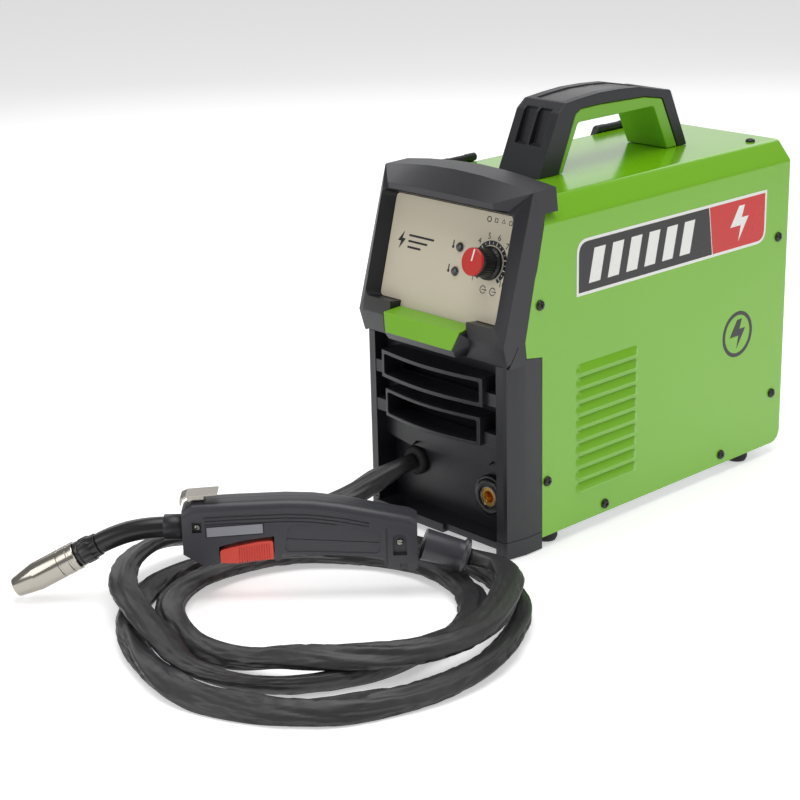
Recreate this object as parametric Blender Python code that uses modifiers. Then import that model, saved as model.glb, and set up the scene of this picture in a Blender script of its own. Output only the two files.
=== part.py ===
"""Portable gasless MIG welding machine with its torch and torch cable.

Metres, +Z up. The case's front faces -Y and its louvred side faces +X.
Case parts are given from the middle of the cover's front edge, on the floor.
Torch parts are given along the torch, from the front end of its handle.
Panel parts are given from the middle of the sloping control opening.
"""
import math
import bmesh
import bpy
from mathutils import Quaternion as Quat
from mathutils import Vector

# ---- driving dimensions -----------------------------------------------------------------
GAP = 0.0004                        # clearance between neighbouring parts
SHEET = 0.0012                      # steel sheet
CASE_PLACE = (0.02275, 0.0170, 0.0)  # case origin, from the middle of case and torch together
CASE_HALF = 0.0860                  # half the width of the case
CASE_LENGTH = 0.3300                # cover, front edge to rear edge
COVER_LOW = 0.0100                  # lower edge of the cover, above the floor
BEND_LOW = 0.2810                   # where the side sheet bends inwards
TOP = 0.2980                        # top of the cover
TOP_HALF = 0.0715                   # half the flat of the top
TRAY_HALF = 0.0840
TRAY_FLOOR = 0.0112
TRAY_FLANGE = 0.0245
WALL_X = -0.0120                    # middle of the dividing wall
REAR_FACE = 0.3265                  # outer face of the rear panel

DOOR_FRONT, DOOR_REAR = 0.0225, 0.3155
DOOR_LOW = 0.0222
HINGE_X, HINGE_Z, HINGE_R = -0.0735, 0.3013, 0.0032
HINGE_FRONTS = (0.0400, 0.2445)     # front end of each door hinge
HINGE_LENGTH = 0.0440
KNUCKLE = 0.0115
LATCH_Y = (0.0700, 0.2700)
LATCH_Z = 0.0400

PANEL_PLACE = (0.0, -0.03505, 0.24655)
PANEL_TILT = math.radians(-15.0)
OPENING_HALF_X, OPENING_HALF_Z = 0.0770, 0.0462
PLATE_HALF_X, PLATE_HALF_Z = 0.0712, 0.0446
PLATE_DEPTH, PLATE_THICK = 0.0120, 0.0015
KNOB_AT = (0.0490, 0.0035)
KNOB_R, KNOB_STANDS = 0.0118, 0.0220
LED_AT = ((0.0130, 0.0108), (0.0120, -0.0095))

PILLAR_IN, PILLAR_FRONT, PILLAR_TOP = 0.0728, -0.0410, 0.1690
RECESS_FRONT, RECESS_THICK = -0.0195, 0.0025
GLAND_AT = (-0.0440, 0.0525)
SOCKET_AT = (0.0480, 0.0440)

HANDLE_HALF, GRIP_HALF = 0.0240, 0.0215

FAN_AT, FAN_HALF, FAN_DEPTH = (0.0340, 0.1650), 0.0400, 0.0250
SWITCH_AT = (0.0500, 0.2480)
INLET_AT = (0.0500, 0.0560)

SPOOL_AT = (0.1900, 0.1880)
SPOOL_R, SPOOL_OUT, SPOOL_IN = 0.0500, -0.0690, -0.0240
DRIVE_AT = (0.0600, 0.0375)
DRIVE_R = 0.0150
ARM_PIVOT = (0.0340, 0.0700)
PRESS_R = 0.0095

TORCH_PLACE = (-0.0548, -0.2672, 0.0)
TORCH_TURN = math.radians(47.2)
TORCH_HALF = 0.0140
NECK_R = 0.0086
NOZZLE_R, NOZZLE_TIP_R = 0.0118, 0.0081
TRIGGER_HALF = 0.0100

CABLE_R = 0.0070
CABLE_POINTS = 76
CABLE_ROUTE = [                     # from the gland to the torch, by hand, from the case origin
    (-0.0440, -0.0264, 0.0525), (-0.0450, -0.0410, 0.0510), (-0.0530, -0.0620, 0.0430),
    (-0.0620, -0.0880, 0.0310), (-0.0700, -0.1160, 0.0245), (-0.0765, -0.1470, 0.0225),
    (-0.0810, -0.1800, 0.0150), (-0.0850, -0.2150, 0.0080), (-0.0860, -0.2500, 0.0074),
    (-0.0770, -0.2860, 0.0074), (-0.0520, -0.3220, 0.0074), (-0.0140, -0.3520, 0.0074),
    (0.0350, -0.3720, 0.0074), (0.0920, -0.3770, 0.0074), (0.1420, -0.3620, 0.0074),
    (0.1840, -0.3280, 0.0074), (0.2080, -0.2800, 0.0074), (0.2150, -0.2320, 0.0074),
    (0.2080, -0.1820, 0.0074), (0.1840, -0.1330, 0.0074), (0.1500, -0.1000, 0.0074),
    (0.1100, -0.0820, 0.0074), (0.0600, -0.0760, 0.0074), (0.0100, -0.0800, 0.0074),
    (-0.0350, -0.0920, 0.0074), (-0.0740, -0.1190, 0.0074), (-0.1030, -0.1600, 0.0080),
    (-0.1150, -0.2050, 0.0150), (-0.1170, -0.2480, 0.0225), (-0.1020, -0.2890, 0.0230),
    (-0.0680, -0.3200, 0.0230), (-0.0280, -0.3360, 0.0225), (0.0120, -0.3440, 0.0160),
    (0.0550, -0.3510, 0.0085), (0.0980, -0.3450, 0.0074), (0.1340, -0.3220, 0.0074),
    (0.1560, -0.2850, 0.0074), (0.1660, -0.2400, 0.0074), (0.1630, -0.1950, 0.0074),
    (0.1500, -0.1520, 0.0074), (0.1220, -0.1220, 0.0074), (0.0840, -0.1080, 0.0074),
    (0.0440, -0.1080, 0.0074), (0.0050, -0.1240, 0.0074), (-0.0300, -0.1550, 0.0074),
    (-0.0520, -0.1950, 0.0074), (-0.0600, -0.2350, 0.0074), (-0.0550, -0.2700, 0.0074),
    (-0.0360, -0.2980, 0.0074), (-0.0020, -0.3160, 0.0074), (0.0400, -0.3260, 0.0080),
    (0.0840, -0.3230, 0.0130), (0.1220, -0.3080, 0.0210), (0.1560, -0.2800, 0.0230),
    (0.1810, -0.2440, 0.0230), (0.1920, -0.2050, 0.0230), (0.1870, -0.1680, 0.0230),
    (0.1730, -0.1400, 0.0235), (0.1560, -0.1160, 0.0235), (0.1370, -0.0960, 0.0235),
    (0.1190, -0.0890, 0.0240), (0.1049, -0.0947, 0.0261), (0.0987, -0.1014, 0.0291)]

GLAND_AXIS = (0.0, -1.0, 0.0)       # the way the cable leaves the gland
FLANGE_AXIS = (0.6462, 0.6978, -0.3090)   # the way it leaves the torch

# ---- scene, collections and shared tools ------------------------------------------------
for old in list(bpy.data.objects):
    bpy.data.objects.remove(old, do_unlink=True)

PARTS = bpy.data.collections.new("mig_welding_machine")
CUTTERS = bpy.data.collections.new("cutters")
for group in (PARTS, CUTTERS):
    bpy.context.scene.collection.children.link(group)


def empty(name, place, turn=(0.0, 0.0, 0.0), parent=None):
    """A named centre that parts hang from."""
    centre = bpy.data.objects.new(name, None)
    PARTS.objects.link(centre)
    centre.location = place
    centre.rotation_euler = turn
    centre.parent = parent
    return centre


def material(name, colour, roughness, metallic=0.0):
    finish = bpy.data.materials.new(name)
    finish.use_nodes = True
    shader = finish.node_tree.nodes["Principled BSDF"]
    shader.inputs["Base Color"].default_value = (*colour, 1.0)
    shader.inputs["Roughness"].default_value = roughness
    shader.inputs["Metallic"].default_value = metallic
    return finish


GREEN = material("green_enamel", (0.25, 0.52, 0.06), 0.25)
BLACK = material("black_plastic", (0.03, 0.03, 0.033), 0.5)
BEIGE = material("beige_plate", (0.58, 0.53, 0.43), 0.4)
RED = material("red_plastic", (0.65, 0.05, 0.03), 0.4)
RUBBER = material("rubber", (0.015, 0.015, 0.015), 0.8)
STEEL = material("zinc_steel", (0.6, 0.6, 0.6), 0.35, 1.0)
NICKEL = material("nickel", (0.75, 0.74, 0.7), 0.2, 1.0)
BRASS = material("brass", (0.75, 0.5, 0.2), 0.3, 1.0)
COPPER = material("copper", (0.85, 0.42, 0.22), 0.3, 1.0)
ALUMINIUM = material("aluminium", (0.7, 0.7, 0.72), 0.4, 1.0)
BOARD = material("circuit_board", (0.02, 0.2, 0.08), 0.5)
WINDING = material("winding_tape", (0.55, 0.4, 0.1), 0.5)
LENS = material("lamp_lens", (0.1, 0.1, 0.12), 0.2)

CASE = empty("case_origin", CASE_PLACE)
PANEL = empty("panel_origin", PANEL_PLACE, (PANEL_TILT, 0.0, 0.0), CASE)
TORCH = empty("torch_origin", TORCH_PLACE, (0.0, 0.0, TORCH_TURN), CASE)


def keep(obj, parent, finish):
    """Put a finished shape among the parts, under its centre."""
    PARTS.objects.link(obj)
    obj.parent = parent
    if finish is not None:
        obj.data.materials.clear()
        obj.data.materials.append(finish)
    return obj


def tool(obj, parent):
    """Put a shape among the cutters: it shapes other parts and is not a part."""
    CUTTERS.objects.link(obj)
    obj.parent = parent
    obj.hide_render = True
    obj.display_type = "WIRE"
    return obj


def from_bmesh(name, mesh_work):
    mesh = bpy.data.meshes.new(name)
    bmesh.ops.recalc_face_normals(mesh_work, faces=mesh_work.faces)
    mesh_work.to_mesh(mesh)
    mesh_work.free()
    return bpy.data.objects.new(name, mesh)


def block(name, low, high):
    """A box between two corners."""
    low, high = Vector(low), Vector(high)
    work = bmesh.new()
    bmesh.ops.create_cube(work, size=1.0)
    bmesh.ops.scale(work, vec=high - low, verts=work.verts)
    obj = from_bmesh(name, work)
    obj.location = (low + high) / 2
    return obj


def blocks(name, corners):
    """Several separate boxes in one shape, for a row of cuts."""
    work = bmesh.new()
    for low, high in corners:
        low, high = Vector(low), Vector(high)
        made = bmesh.ops.create_cube(work, size=1.0)["verts"]
        bmesh.ops.scale(work, vec=high - low, verts=made)
        bmesh.ops.translate(work, vec=(low + high) / 2, verts=made)
    return from_bmesh(name, work)


def hull(name, points):
    """The tight convex solid around some corners."""
    work = bmesh.new()
    for point in points:
        work.verts.new(point)
    made = bmesh.ops.convex_hull(work, input=work.verts)
    spare = [v for v in made["geom_interior"] if isinstance(v, bmesh.types.BMVert)]
    bmesh.ops.delete(work, geom=spare, context="VERTS")
    return from_bmesh(name, work)


AXIS_TURN = {"x": (0.0, math.pi / 2, 0.0), "y": (-math.pi / 2, 0.0, 0.0), "z": (0.0, 0.0, 0.0)}


def drum(name, radius, start, length, axis, sides=28, end_radius=None):
    """A cylinder or cone that starts at a point and runs along +axis."""
    work = bmesh.new()
    bmesh.ops.create_cone(work, cap_ends=True, segments=sides, radius1=radius,
                          radius2=radius if end_radius is None else end_radius, depth=length)
    bmesh.ops.translate(work, vec=(0.0, 0.0, length / 2), verts=work.verts)
    obj = from_bmesh(name, work)
    obj.location = start
    obj.rotation_euler = AXIS_TURN[axis]
    obj.data.shade_smooth()
    obj.data.set_sharp_from_angle(angle=math.radians(35))
    return obj


def turned(name, profile, place, turn, steps=28):
    """A turned shape: (radius, height) pairs from the top down the outer side."""
    mesh = bpy.data.meshes.new(name)
    work = bmesh.new()
    corners = [work.verts.new((radius, 0.0, height)) for radius, height in profile]
    for upper, lower in zip(corners, corners[1:]):
        work.edges.new((upper, lower))
    if profile[0][0] > 0.0:
        work.edges.new((corners[-1], corners[0]))
    work.to_mesh(mesh)
    work.free()
    obj = bpy.data.objects.new(name, mesh)
    screw = obj.modifiers.new("turn", "SCREW")
    screw.steps = screw.render_steps = steps
    screw.use_merge_vertices = True
    screw.merge_threshold = 0.00002
    screw.use_smooth_shade = True
    obj.location = place
    obj.rotation_euler = turn
    return obj


FACE_TURN = {"x": (math.pi / 2, 0.0, math.pi / 2), "y": (math.pi / 2, 0.0, 0.0), "z": (0.0, 0.0, 0.0)}


def outline(name, points, axis, low, high):
    """A flat outline with a thickness along one axis, from low to high."""
    curve = bpy.data.curves.new(name, "CURVE")
    curve.dimensions = "2D"
    curve.fill_mode = "BOTH"
    curve.extrude = (high - low) / 2
    spline = curve.splines.new("POLY")
    spline.points.add(len(points) - 1)
    for slot, (along, up) in zip(spline.points, points):
        slot.co = (along, up, 0.0, 1.0)
    spline.use_cyclic_u = True
    obj = bpy.data.objects.new(name, curve)
    middle = (high + low) / 2
    obj.location = {"x": (middle, 0.0, 0.0), "y": (0.0, middle, 0.0), "z": (0.0, 0.0, middle)}[axis]
    obj.rotation_euler = FACE_TURN[axis]
    return obj


def as_mesh(obj):
    """The mesh form of a curve, with its caps welded, in the same place."""
    holder = bpy.context.scene.collection
    holder.objects.link(obj)
    bpy.context.view_layer.update()
    seen = obj.evaluated_get(bpy.context.evaluated_depsgraph_get())
    mesh = bpy.data.meshes.new_from_object(seen)
    work = bmesh.new()
    work.from_mesh(mesh)
    bmesh.ops.remove_doubles(work, verts=work.verts, dist=0.00001)
    bmesh.ops.recalc_face_normals(work, faces=work.faces)
    work.to_mesh(mesh)
    work.free()
    name = obj.name
    place, turn = obj.location.copy(), obj.rotation_euler.copy()
    bpy.data.objects.remove(obj, do_unlink=True)
    solid = bpy.data.objects.new(name, mesh)
    solid.location, solid.rotation_euler = place, turn
    return solid


def slab(name, points, axis, low, high):
    return as_mesh(outline(name, points, axis, low, high))


def sheet(name, profile, low, high):
    """Bent sheet: an (x, z) profile drawn from +X over the top, run along Y, thick inwards."""
    work = bmesh.new()
    row = [work.verts.new((x, low, z)) for x, z in profile]
    edges = [work.edges.new(pair) for pair in zip(row, row[1:])]
    made = bmesh.ops.extrude_edge_only(work, edges=edges)["geom"]
    far = [v for v in made if isinstance(v, bmesh.types.BMVert)]
    bmesh.ops.translate(work, vec=(0.0, high - low, 0.0), verts=far)
    mesh = bpy.data.meshes.new(name)
    work.to_mesh(mesh)
    work.free()
    return bpy.data.objects.new(name, mesh)


def thicken(obj, thickness, side):
    """Thickness to one side of an open sheet: 1 or -1 along its faces."""
    shell = obj.modifiers.new("thickness", "SOLIDIFY")
    shell.thickness = thickness
    shell.offset = side
    shell.use_even_offset = True


def boolean(obj, other, operation):
    step = obj.modifiers.new(operation.lower(), "BOOLEAN")
    step.operation = operation
    step.object = other
    step.solver = "EXACT"


def cut(obj, other, parent):
    boolean(obj, tool(other, parent), "DIFFERENCE")


def add(obj, other, parent):
    boolean(obj, tool(other, parent), "UNION")


# ---- base tray, feet and steel cover ----------------------------------------------------
def base_tray():
    tray = sheet("base_tray", [(TRAY_HALF, TRAY_FLANGE), (TRAY_HALF, TRAY_FLOOR),
                               (-TRAY_HALF, TRAY_FLOOR), (-TRAY_HALF, TRAY_FLANGE)], 0.001, 0.3245)
    thicken(tray, SHEET, 1)
    keep(tray, CASE, STEEL)


def feet():
    profile = [(0.0, 0.0108), (0.0100, 0.0108), (0.0100, 0.0030), (0.0085, 0.0), (0.0, 0.0)]
    for name, x, y in (("foot_front_left", -1, 0.0190), ("foot_front_right", 1, 0.0190),
                       ("foot_rear_left", -1, 0.2830), ("foot_rear_right", 1, 0.2830)):
        keep(turned(name, profile, (x * 0.0725, y, 0.0), (0.0, 0.0, 0.0), 20), CASE, RUBBER)


FRONT_LINE = [(0.0, 0.0), (0.0, 0.1697), (-0.0185, 0.1727), (-0.0202, 0.1863),
              (-0.0088, 0.2370), (-0.0060, 0.2447), (0.0045, 0.2900), (0.0060, 0.3000)]
SIDE_PROFILE = [(CASE_HALF, COVER_LOW), (CASE_HALF, BEND_LOW), (TOP_HALF, TOP),
                (-TOP_HALF, TOP), (-CASE_HALF, BEND_LOW), (-CASE_HALF, COVER_LOW)]


def cover():
    shell = sheet("cover", SIDE_PROFILE, -0.0300, CASE_LENGTH)
    thicken(shell, SHEET, -1)
    front = [(y, z) for y, z in FRONT_LINE] + [(0.0060, 0.3200), (-0.0600, 0.3200), (-0.0600, 0.0)]
    cut(shell, slab("cover_front_cutter", front, "x", -0.1, 0.1), CASE)
    slots = [((0.08, 0.0430, 0.0424 + 0.0118 * i), (0.09, 0.1190, 0.0470 + 0.0118 * i))
             for i in range(10)]
    cut(shell, blocks("louvre_cutter", slots), CASE)
    door = block("door_cutter", (-0.1, DOOR_FRONT - 0.0005, DOOR_LOW - 0.0007),
                 (-0.0712, DOOR_REAR + 0.0005, 0.31))
    cut(shell, door, CASE)
    keep(shell, CASE, GREEN)


# ---- hinged side door -------------------------------------------------------------------
def left_door():
    profile = [(-0.0741, 0.2949), (-CASE_HALF, BEND_LOW), (-CASE_HALF, DOOR_LOW)]
    door = sheet("left_door", profile, DOOR_FRONT, DOOR_REAR)
    thicken(door, SHEET, -1)
    web = [(HINGE_X, HINGE_Z), (-0.0765, HINGE_Z), (-0.0808, 0.2901), (-0.0793, 0.2888),
           (-0.0745, 0.2945)]
    for number, front in enumerate(HINGE_FRONTS):
        rear = front + HINGE_LENGTH
        notch = block(f"hinge_notch_{number}", (-0.08, front + KNUCKLE, 0.2915),
                      (-0.07, rear - KNUCKLE, 0.30))
        cut(door, notch, CASE)
        for end, start in enumerate((front, rear - KNUCKLE)):
            label = f"door_knuckle_{number}_{end}"
            add(door, slab(label + "_web", web, "y", start, start + KNUCKLE), CASE)
            add(door, drum(label, HINGE_R, (HINGE_X, start, HINGE_Z), KNUCKLE, "y", 16), CASE)
    for number, y in enumerate(LATCH_Y):
        cut(door, drum(f"latch_hole_{number}", 0.0044, (-0.09, y, LATCH_Z), 0.01, "x", 20), CASE)
    keep(door, CASE, GREEN)


def hinges():
    leaf = [(-0.0742, HINGE_Z), (-0.0742, 0.2938), (-0.0560, 0.2938), (-0.0560, 0.2953),
            (-0.0726, 0.2953), (-0.0726, HINGE_Z)]
    for name, front in zip(("hinge_front", "hinge_rear"), HINGE_FRONTS):
        start = front + KNUCKLE + GAP
        length = HINGE_LENGTH - 2 * (KNUCKLE + GAP)
        barrel = drum(name, HINGE_R, (HINGE_X, start, HINGE_Z), length, "y", 16)
        add(barrel, slab(name + "_leaf", leaf, "y", start, start + length), CASE)
        keep(barrel, CASE, BLACK)


def latches():
    for name, y in zip(("door_latch_front", "door_latch_rear"), LATCH_Y):
        knob = drum(name, 0.0040, (-0.0885, y, LATCH_Z), 0.0062, "x", 20)
        add(knob, drum(name + "_head", 0.0090, (-0.0895, y, LATCH_Z), 0.0030, "x", 24), CASE)
        add(knob, block(name + "_bar", (-0.0930, y - 0.0020, LATCH_Z - 0.0080),
                        (-0.0880, y + 0.0020, LATCH_Z + 0.0080)), CASE)
        add(knob, block(name + "_cam", (-0.0838, y - 0.0040, LATCH_Z - 0.0130),
                        (-0.0815, y + 0.0040, LATCH_Z + 0.0040)), CASE)
        keep(knob, CASE, BLACK)


# ---- front: hooded bezel, control plate, badge ------------------------------------------
def badge_points(grow):
    """Corners of the lip under the control plate, grown on all sides for its seat."""
    g = grow
    row = ((0.0440, -0.0335, 0.1956 + g), (0.0454, -0.0548 - g, 0.1946 + g),
           (0.0396, -0.0589 - g, 0.1789 - g), (0.0400, -0.0400, 0.1800 - g), (0.0440, -0.0335 + g, 0.1900))
    return [(side * (x + g), y, z) for x, y, z in row for side in (-1, 1)]


def front_bezel():
    side = [(-0.0100, 0.3165), (0.0135, 0.3150), (0.0180, 0.2890), (0.0030, 0.2885),
            (-0.0064, 0.2447), (-0.0092, 0.2370), (-0.0206, 0.1863), (-0.0189, 0.1731),
            (-0.0410, 0.1697), (-0.0476, 0.1878), (-0.0232, 0.2914), (-0.0316, 0.2945),
            (-0.0313, 0.2995)]
    shell = slab("front_bezel", side, "x", -CASE_HALF, CASE_HALF)
    for mark in (-1, 1):
        crown = [(mark * 0.0250, 0.3166), (mark * 0.0900, 0.3080), (mark * 0.0900, 0.3300),
                 (mark * 0.0250, 0.3300)]
        cut(shell, slab(f"crown_cutter_{mark}", crown, "y", -0.05, 0.03), CASE)
        corner = [(mark * 0.0615, -0.0318, 0.2996), (mark * 0.0615, -0.0318, 0.2930),
                  (mark * 0.0773, -0.0231, 0.2911), (mark * 0.0870, -0.0100, 0.3085),
                  (mark * 0.0620, -0.0700, 0.2900), (mark * 0.0620, -0.0700, 0.3300),
                  (mark * 0.1200, -0.0700, 0.2900), (mark * 0.1200, -0.0700, 0.3300),
                  (mark * 0.1200, 0.0000, 0.3300), (mark * 0.0870, -0.0060, 0.3180)]
        cut(shell, hull(f"corner_cutter_{mark}", corner), CASE)
        cheek = [(mark * 0.0773, -0.0231, 0.2911), (mark * 0.0773, -0.0470, 0.2018),
                 (mark * 0.0870, -0.0105, 0.3085), (mark * 0.0870, -0.0458, 0.1875),
                 (mark * 0.0870, -0.0413, 0.1690), (mark * 0.0790, -0.0480, 0.1690),
                 (mark * 0.0773, -0.0900, 0.2911), (mark * 0.0773, -0.0900, 0.1600),
                 (mark * 0.1200, -0.0900, 0.3085), (mark * 0.1200, -0.0900, 0.1600),
                 (mark * 0.1200, -0.0105, 0.3085), (mark * 0.1200, -0.0413, 0.1600)]
        cut(shell, hull(f"cheek_cutter_{mark}", cheek), CASE)
    recess = [(x * OPENING_HALF_X, -0.04, z * OPENING_HALF_Z) for x in (-1, 1) for z in (-1, 1)]
    recess += [(x * OPENING_HALF_X, 0.0, z * OPENING_HALF_Z) for x in (-1, 1) for z in (-1, 1)]
    recess += [(x * (PLATE_HALF_X + GAP), 0.0140, z * (PLATE_HALF_Z + GAP))
               for x in (-1, 1) for z in (-1, 1)]
    cut(shell, hull("recess_cutter", recess), PANEL)
    cut(shell, block("back_cutter", (-0.0650, 0.0100, -0.0380), (0.0650, 0.0600, 0.0380)), PANEL)
    cut(shell, block("hollow_cutter", (-0.0830, 0.0165, -0.0560), (0.0830, 0.0800, 0.0480)), PANEL)
    envelope = [(CASE_HALF + GAP, 0.20), (CASE_HALF + GAP, BEND_LOW), (TOP_HALF + GAP, TOP + GAP),
                (-TOP_HALF - GAP, TOP + GAP), (-CASE_HALF - GAP, BEND_LOW), (-CASE_HALF - GAP, 0.20)]
    cut(shell, slab("cover_clearance", envelope, "y", 0.0025, 0.05), CASE)
    cut(shell, hull("badge_seat", badge_points(GAP)), CASE)
    cut(shell, block("badge_notch", (-0.0450, -0.0600, 0.1952), (0.0450, -0.0342, 0.2080)), CASE)
    keep(shell, CASE, BLACK)


def control_plate():
    plate = block("control_plate", (-PLATE_HALF_X, PLATE_DEPTH + 0.0002, -PLATE_HALF_Z),
                  (PLATE_HALF_X, PLATE_DEPTH + 0.0002 + PLATE_THICK, PLATE_HALF_Z))
    cut(plate, drum("knob_shaft_hole", 0.0036, (KNOB_AT[0], 0.0, KNOB_AT[1]), 0.02, "y", 20), PANEL)
    for number, (x, z) in enumerate(LED_AT):
        cut(plate, drum(f"lamp_hole_{number}", 0.0029, (x, 0.0, z), 0.02, "y", 16), PANEL)
    keep(plate, PANEL, BEIGE)


def badge():
    keep(hull("badge", badge_points(0.0)), CASE, GREEN)


def control_knob():
    x, z = KNOB_AT
    towards_user = (math.pi / 2, 0.0, 0.0)
    body = [(0.0, 0.0192), (0.0112, 0.0192), (KNOB_R, 0.0040), (0.0140, 0.0030),
            (0.0140, 0.0006), (0.0030, 0.0006), (0.0030, -0.0110), (0.0, -0.0110)]
    keep(turned("control_knob", body, (x, PLATE_DEPTH, z), towards_user), PANEL, BLACK)
    cap = [(0.0, KNOB_STANDS), (0.0108, KNOB_STANDS), (0.0115, 0.0213), (0.0115, 0.0196), (0.0, 0.0196)]
    keep(turned("knob_cap", cap, (x, PLATE_DEPTH, z), towards_user), PANEL, RED)
    pot = [(0.0034, -0.0141), (0.0080, -0.0141), (0.0080, -0.0240), (0.0034, -0.0240)]
    keep(turned("knob_potentiometer", pot, (x, 0.0, z), towards_user, 20), PANEL, STEEL)


def lamps():
    profile = [(0.0, 0.0030), (0.0028, 0.0022), (0.0040, 0.0006), (0.0025, 0.0006),
               (0.0025, -0.0050), (0.0, -0.0050)]
    for name, (x, z) in zip(("lamp_power", "lamp_thermal"), LED_AT):
        keep(turned(name, profile, (x, PLATE_DEPTH, z), (math.pi / 2, 0.0, 0.0), 16), PANEL, LENS)


# ---- front surround, louvre frames, recess with gland and socket --------------------------
def front_surround():
    parts = []
    for mark in (-1, 1):
        plan = [(mark * CASE_HALF, -0.0005), (mark * CASE_HALF, -0.0200), (mark * 0.0825, -0.0390),
                (mark * PILLAR_IN, PILLAR_FRONT), (mark * PILLAR_IN, -0.0005)]
        parts.append(slab(f"pillar_{mark}", plan, "z", 0.0006, PILLAR_TOP))
    body = parts[0]
    body.name = "front_surround"
    add(body, block("lower_lip", (-0.0760, -0.0430, 0.0055), (0.0760, -0.0260, 0.0135)), CASE)
    add(body, block("backing", (-0.0760, -0.0260, 0.0690), (0.0760, -0.0235, PILLAR_TOP)), CASE)
    add(body, block("ledge", (-0.0760, -0.0300, 0.0690), (0.0760, -0.0235, 0.0765)), CASE)
    add(body, parts[1], CASE)
    keep(body, CASE, BLACK)


def louvres():
    for name, low, high, half in (("louvre_upper", 0.1320, 0.1557, 0.0600),
                                  ("louvre_lower", 0.0968, 0.1216, 0.0566)):
        plan = [(-0.0700, -0.0264), (0.0700, -0.0264), (half, -0.0440), (half * 0.5, -0.0490),
                (-half * 0.5, -0.0490), (-half, -0.0440)]
        frame = slab(name, plan, "z", low, high)
        wall = 0.0030
        cut(frame, block(name + "_inside", (wall - half, -0.06, low + wall),
                         (half - wall, 0.0, high - wall)), CASE)
        keep(frame, CASE, BLACK)


def recess_panel():
    panel = block("recess_panel", (-0.0724, RECESS_FRONT, 0.0130),
                  (0.0724, RECESS_FRONT + RECESS_THICK, 0.0680))
    cut(panel, drum("gland_hole", 0.0100, (GLAND_AT[0], -0.03, GLAND_AT[1]), 0.03, "y"), CASE)
    cut(panel, drum("socket_hole", 0.0154, (SOCKET_AT[0], -0.03, SOCKET_AT[1]), 0.03, "y"), CASE)
    keep(panel, CASE, BLACK)


def gland_and_socket():
    turn = (math.pi / 2, 0.0, 0.0)
    gland = [(0.0050, 0.0065), (0.0105, 0.0065), (0.0130, 0.0045), (0.0130, 0.0004),
             (0.0095, 0.0004), (0.0095, -0.0060), (0.0050, -0.0060)]
    keep(turned("cable_gland", gland, (GLAND_AT[0], RECESS_FRONT, GLAND_AT[1]), turn), CASE, RUBBER)
    body = [(0.0095, 0.0075), (0.0150, 0.0075), (0.0185, 0.0050), (0.0185, 0.0004),
            (0.0150, 0.0004), (0.0150, -0.0190), (0.0095, -0.0190)]
    keep(turned("socket_body", body, (SOCKET_AT[0], RECESS_FRONT, SOCKET_AT[1]), turn), CASE, BLACK)
    insert = [(0.0045, 0.0060), (0.0091, 0.0060), (0.0091, -0.0180), (0.0045, -0.0180)]
    keep(turned("socket_insert", insert, (SOCKET_AT[0], RECESS_FRONT, SOCKET_AT[1]), turn), CASE, BRASS)


# ---- carrying handle ----------------------------------------------------------------------
def handle():
    foot = TOP + GAP
    outer = [(0.0620, foot), (0.0860, 0.3500), (0.0910, 0.3560), (0.1000, 0.3580), (0.1400, 0.3610),
             (0.1900, 0.3595), (0.2250, 0.3520), (0.2320, 0.3515), (0.2576, foot),
             (0.2450, foot), (0.2224, 0.3450), (0.1978, 0.3495), (0.1410, 0.3512),
             (0.1152, 0.3507), (0.1081, 0.3469), (0.0870, foot)]
    shell = slab("handle_shell", outer, "x", -HANDLE_HALF, HANDLE_HALF)
    keep(shell, CASE, BLACK)
    inner = [(0.2446, foot), (0.2220, 0.3446), (0.1976, 0.3490), (0.1410, 0.3507), (0.1155, 0.3502),
             (0.1085, 0.3465), (0.0875, foot), (0.0925, foot), (0.1120, 0.3390), (0.2110, 0.3390),
             (0.2310, foot)]
    keep(slab("handle_inner", inner, "x", -GRIP_HALF, GRIP_HALF), CASE, GREEN)


# ---- rear panel, fan, power switch, mains inlet -------------------------------------------
def rear_panel():
    shape = [(0.0842, 0.0128), (0.0842, 0.2802), (0.0708, 0.2962), (-0.0708, 0.2962),
             (-0.0842, 0.2802), (-0.0842, 0.0128)]
    panel = slab("rear_panel", shape, "y", REAR_FACE - 0.0015, REAR_FACE)
    fan_x, fan_z = FAN_AT
    cut(panel, drum("fan_hole", 0.0370, (fan_x, 0.31, fan_z), 0.03, "y", 36), CASE)
    cut(panel, block("switch_hole", (SWITCH_AT[0] - 0.0104, 0.31, SWITCH_AT[1] - 0.0154),
                     (SWITCH_AT[0] + 0.0104, 0.34, SWITCH_AT[1] + 0.0154)), CASE)
    cut(panel, drum("inlet_hole", 0.0100, (INLET_AT[0], 0.31, INLET_AT[1]), 0.03, "y", 24), CASE)
    keep(panel, CASE, GREEN)


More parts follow.
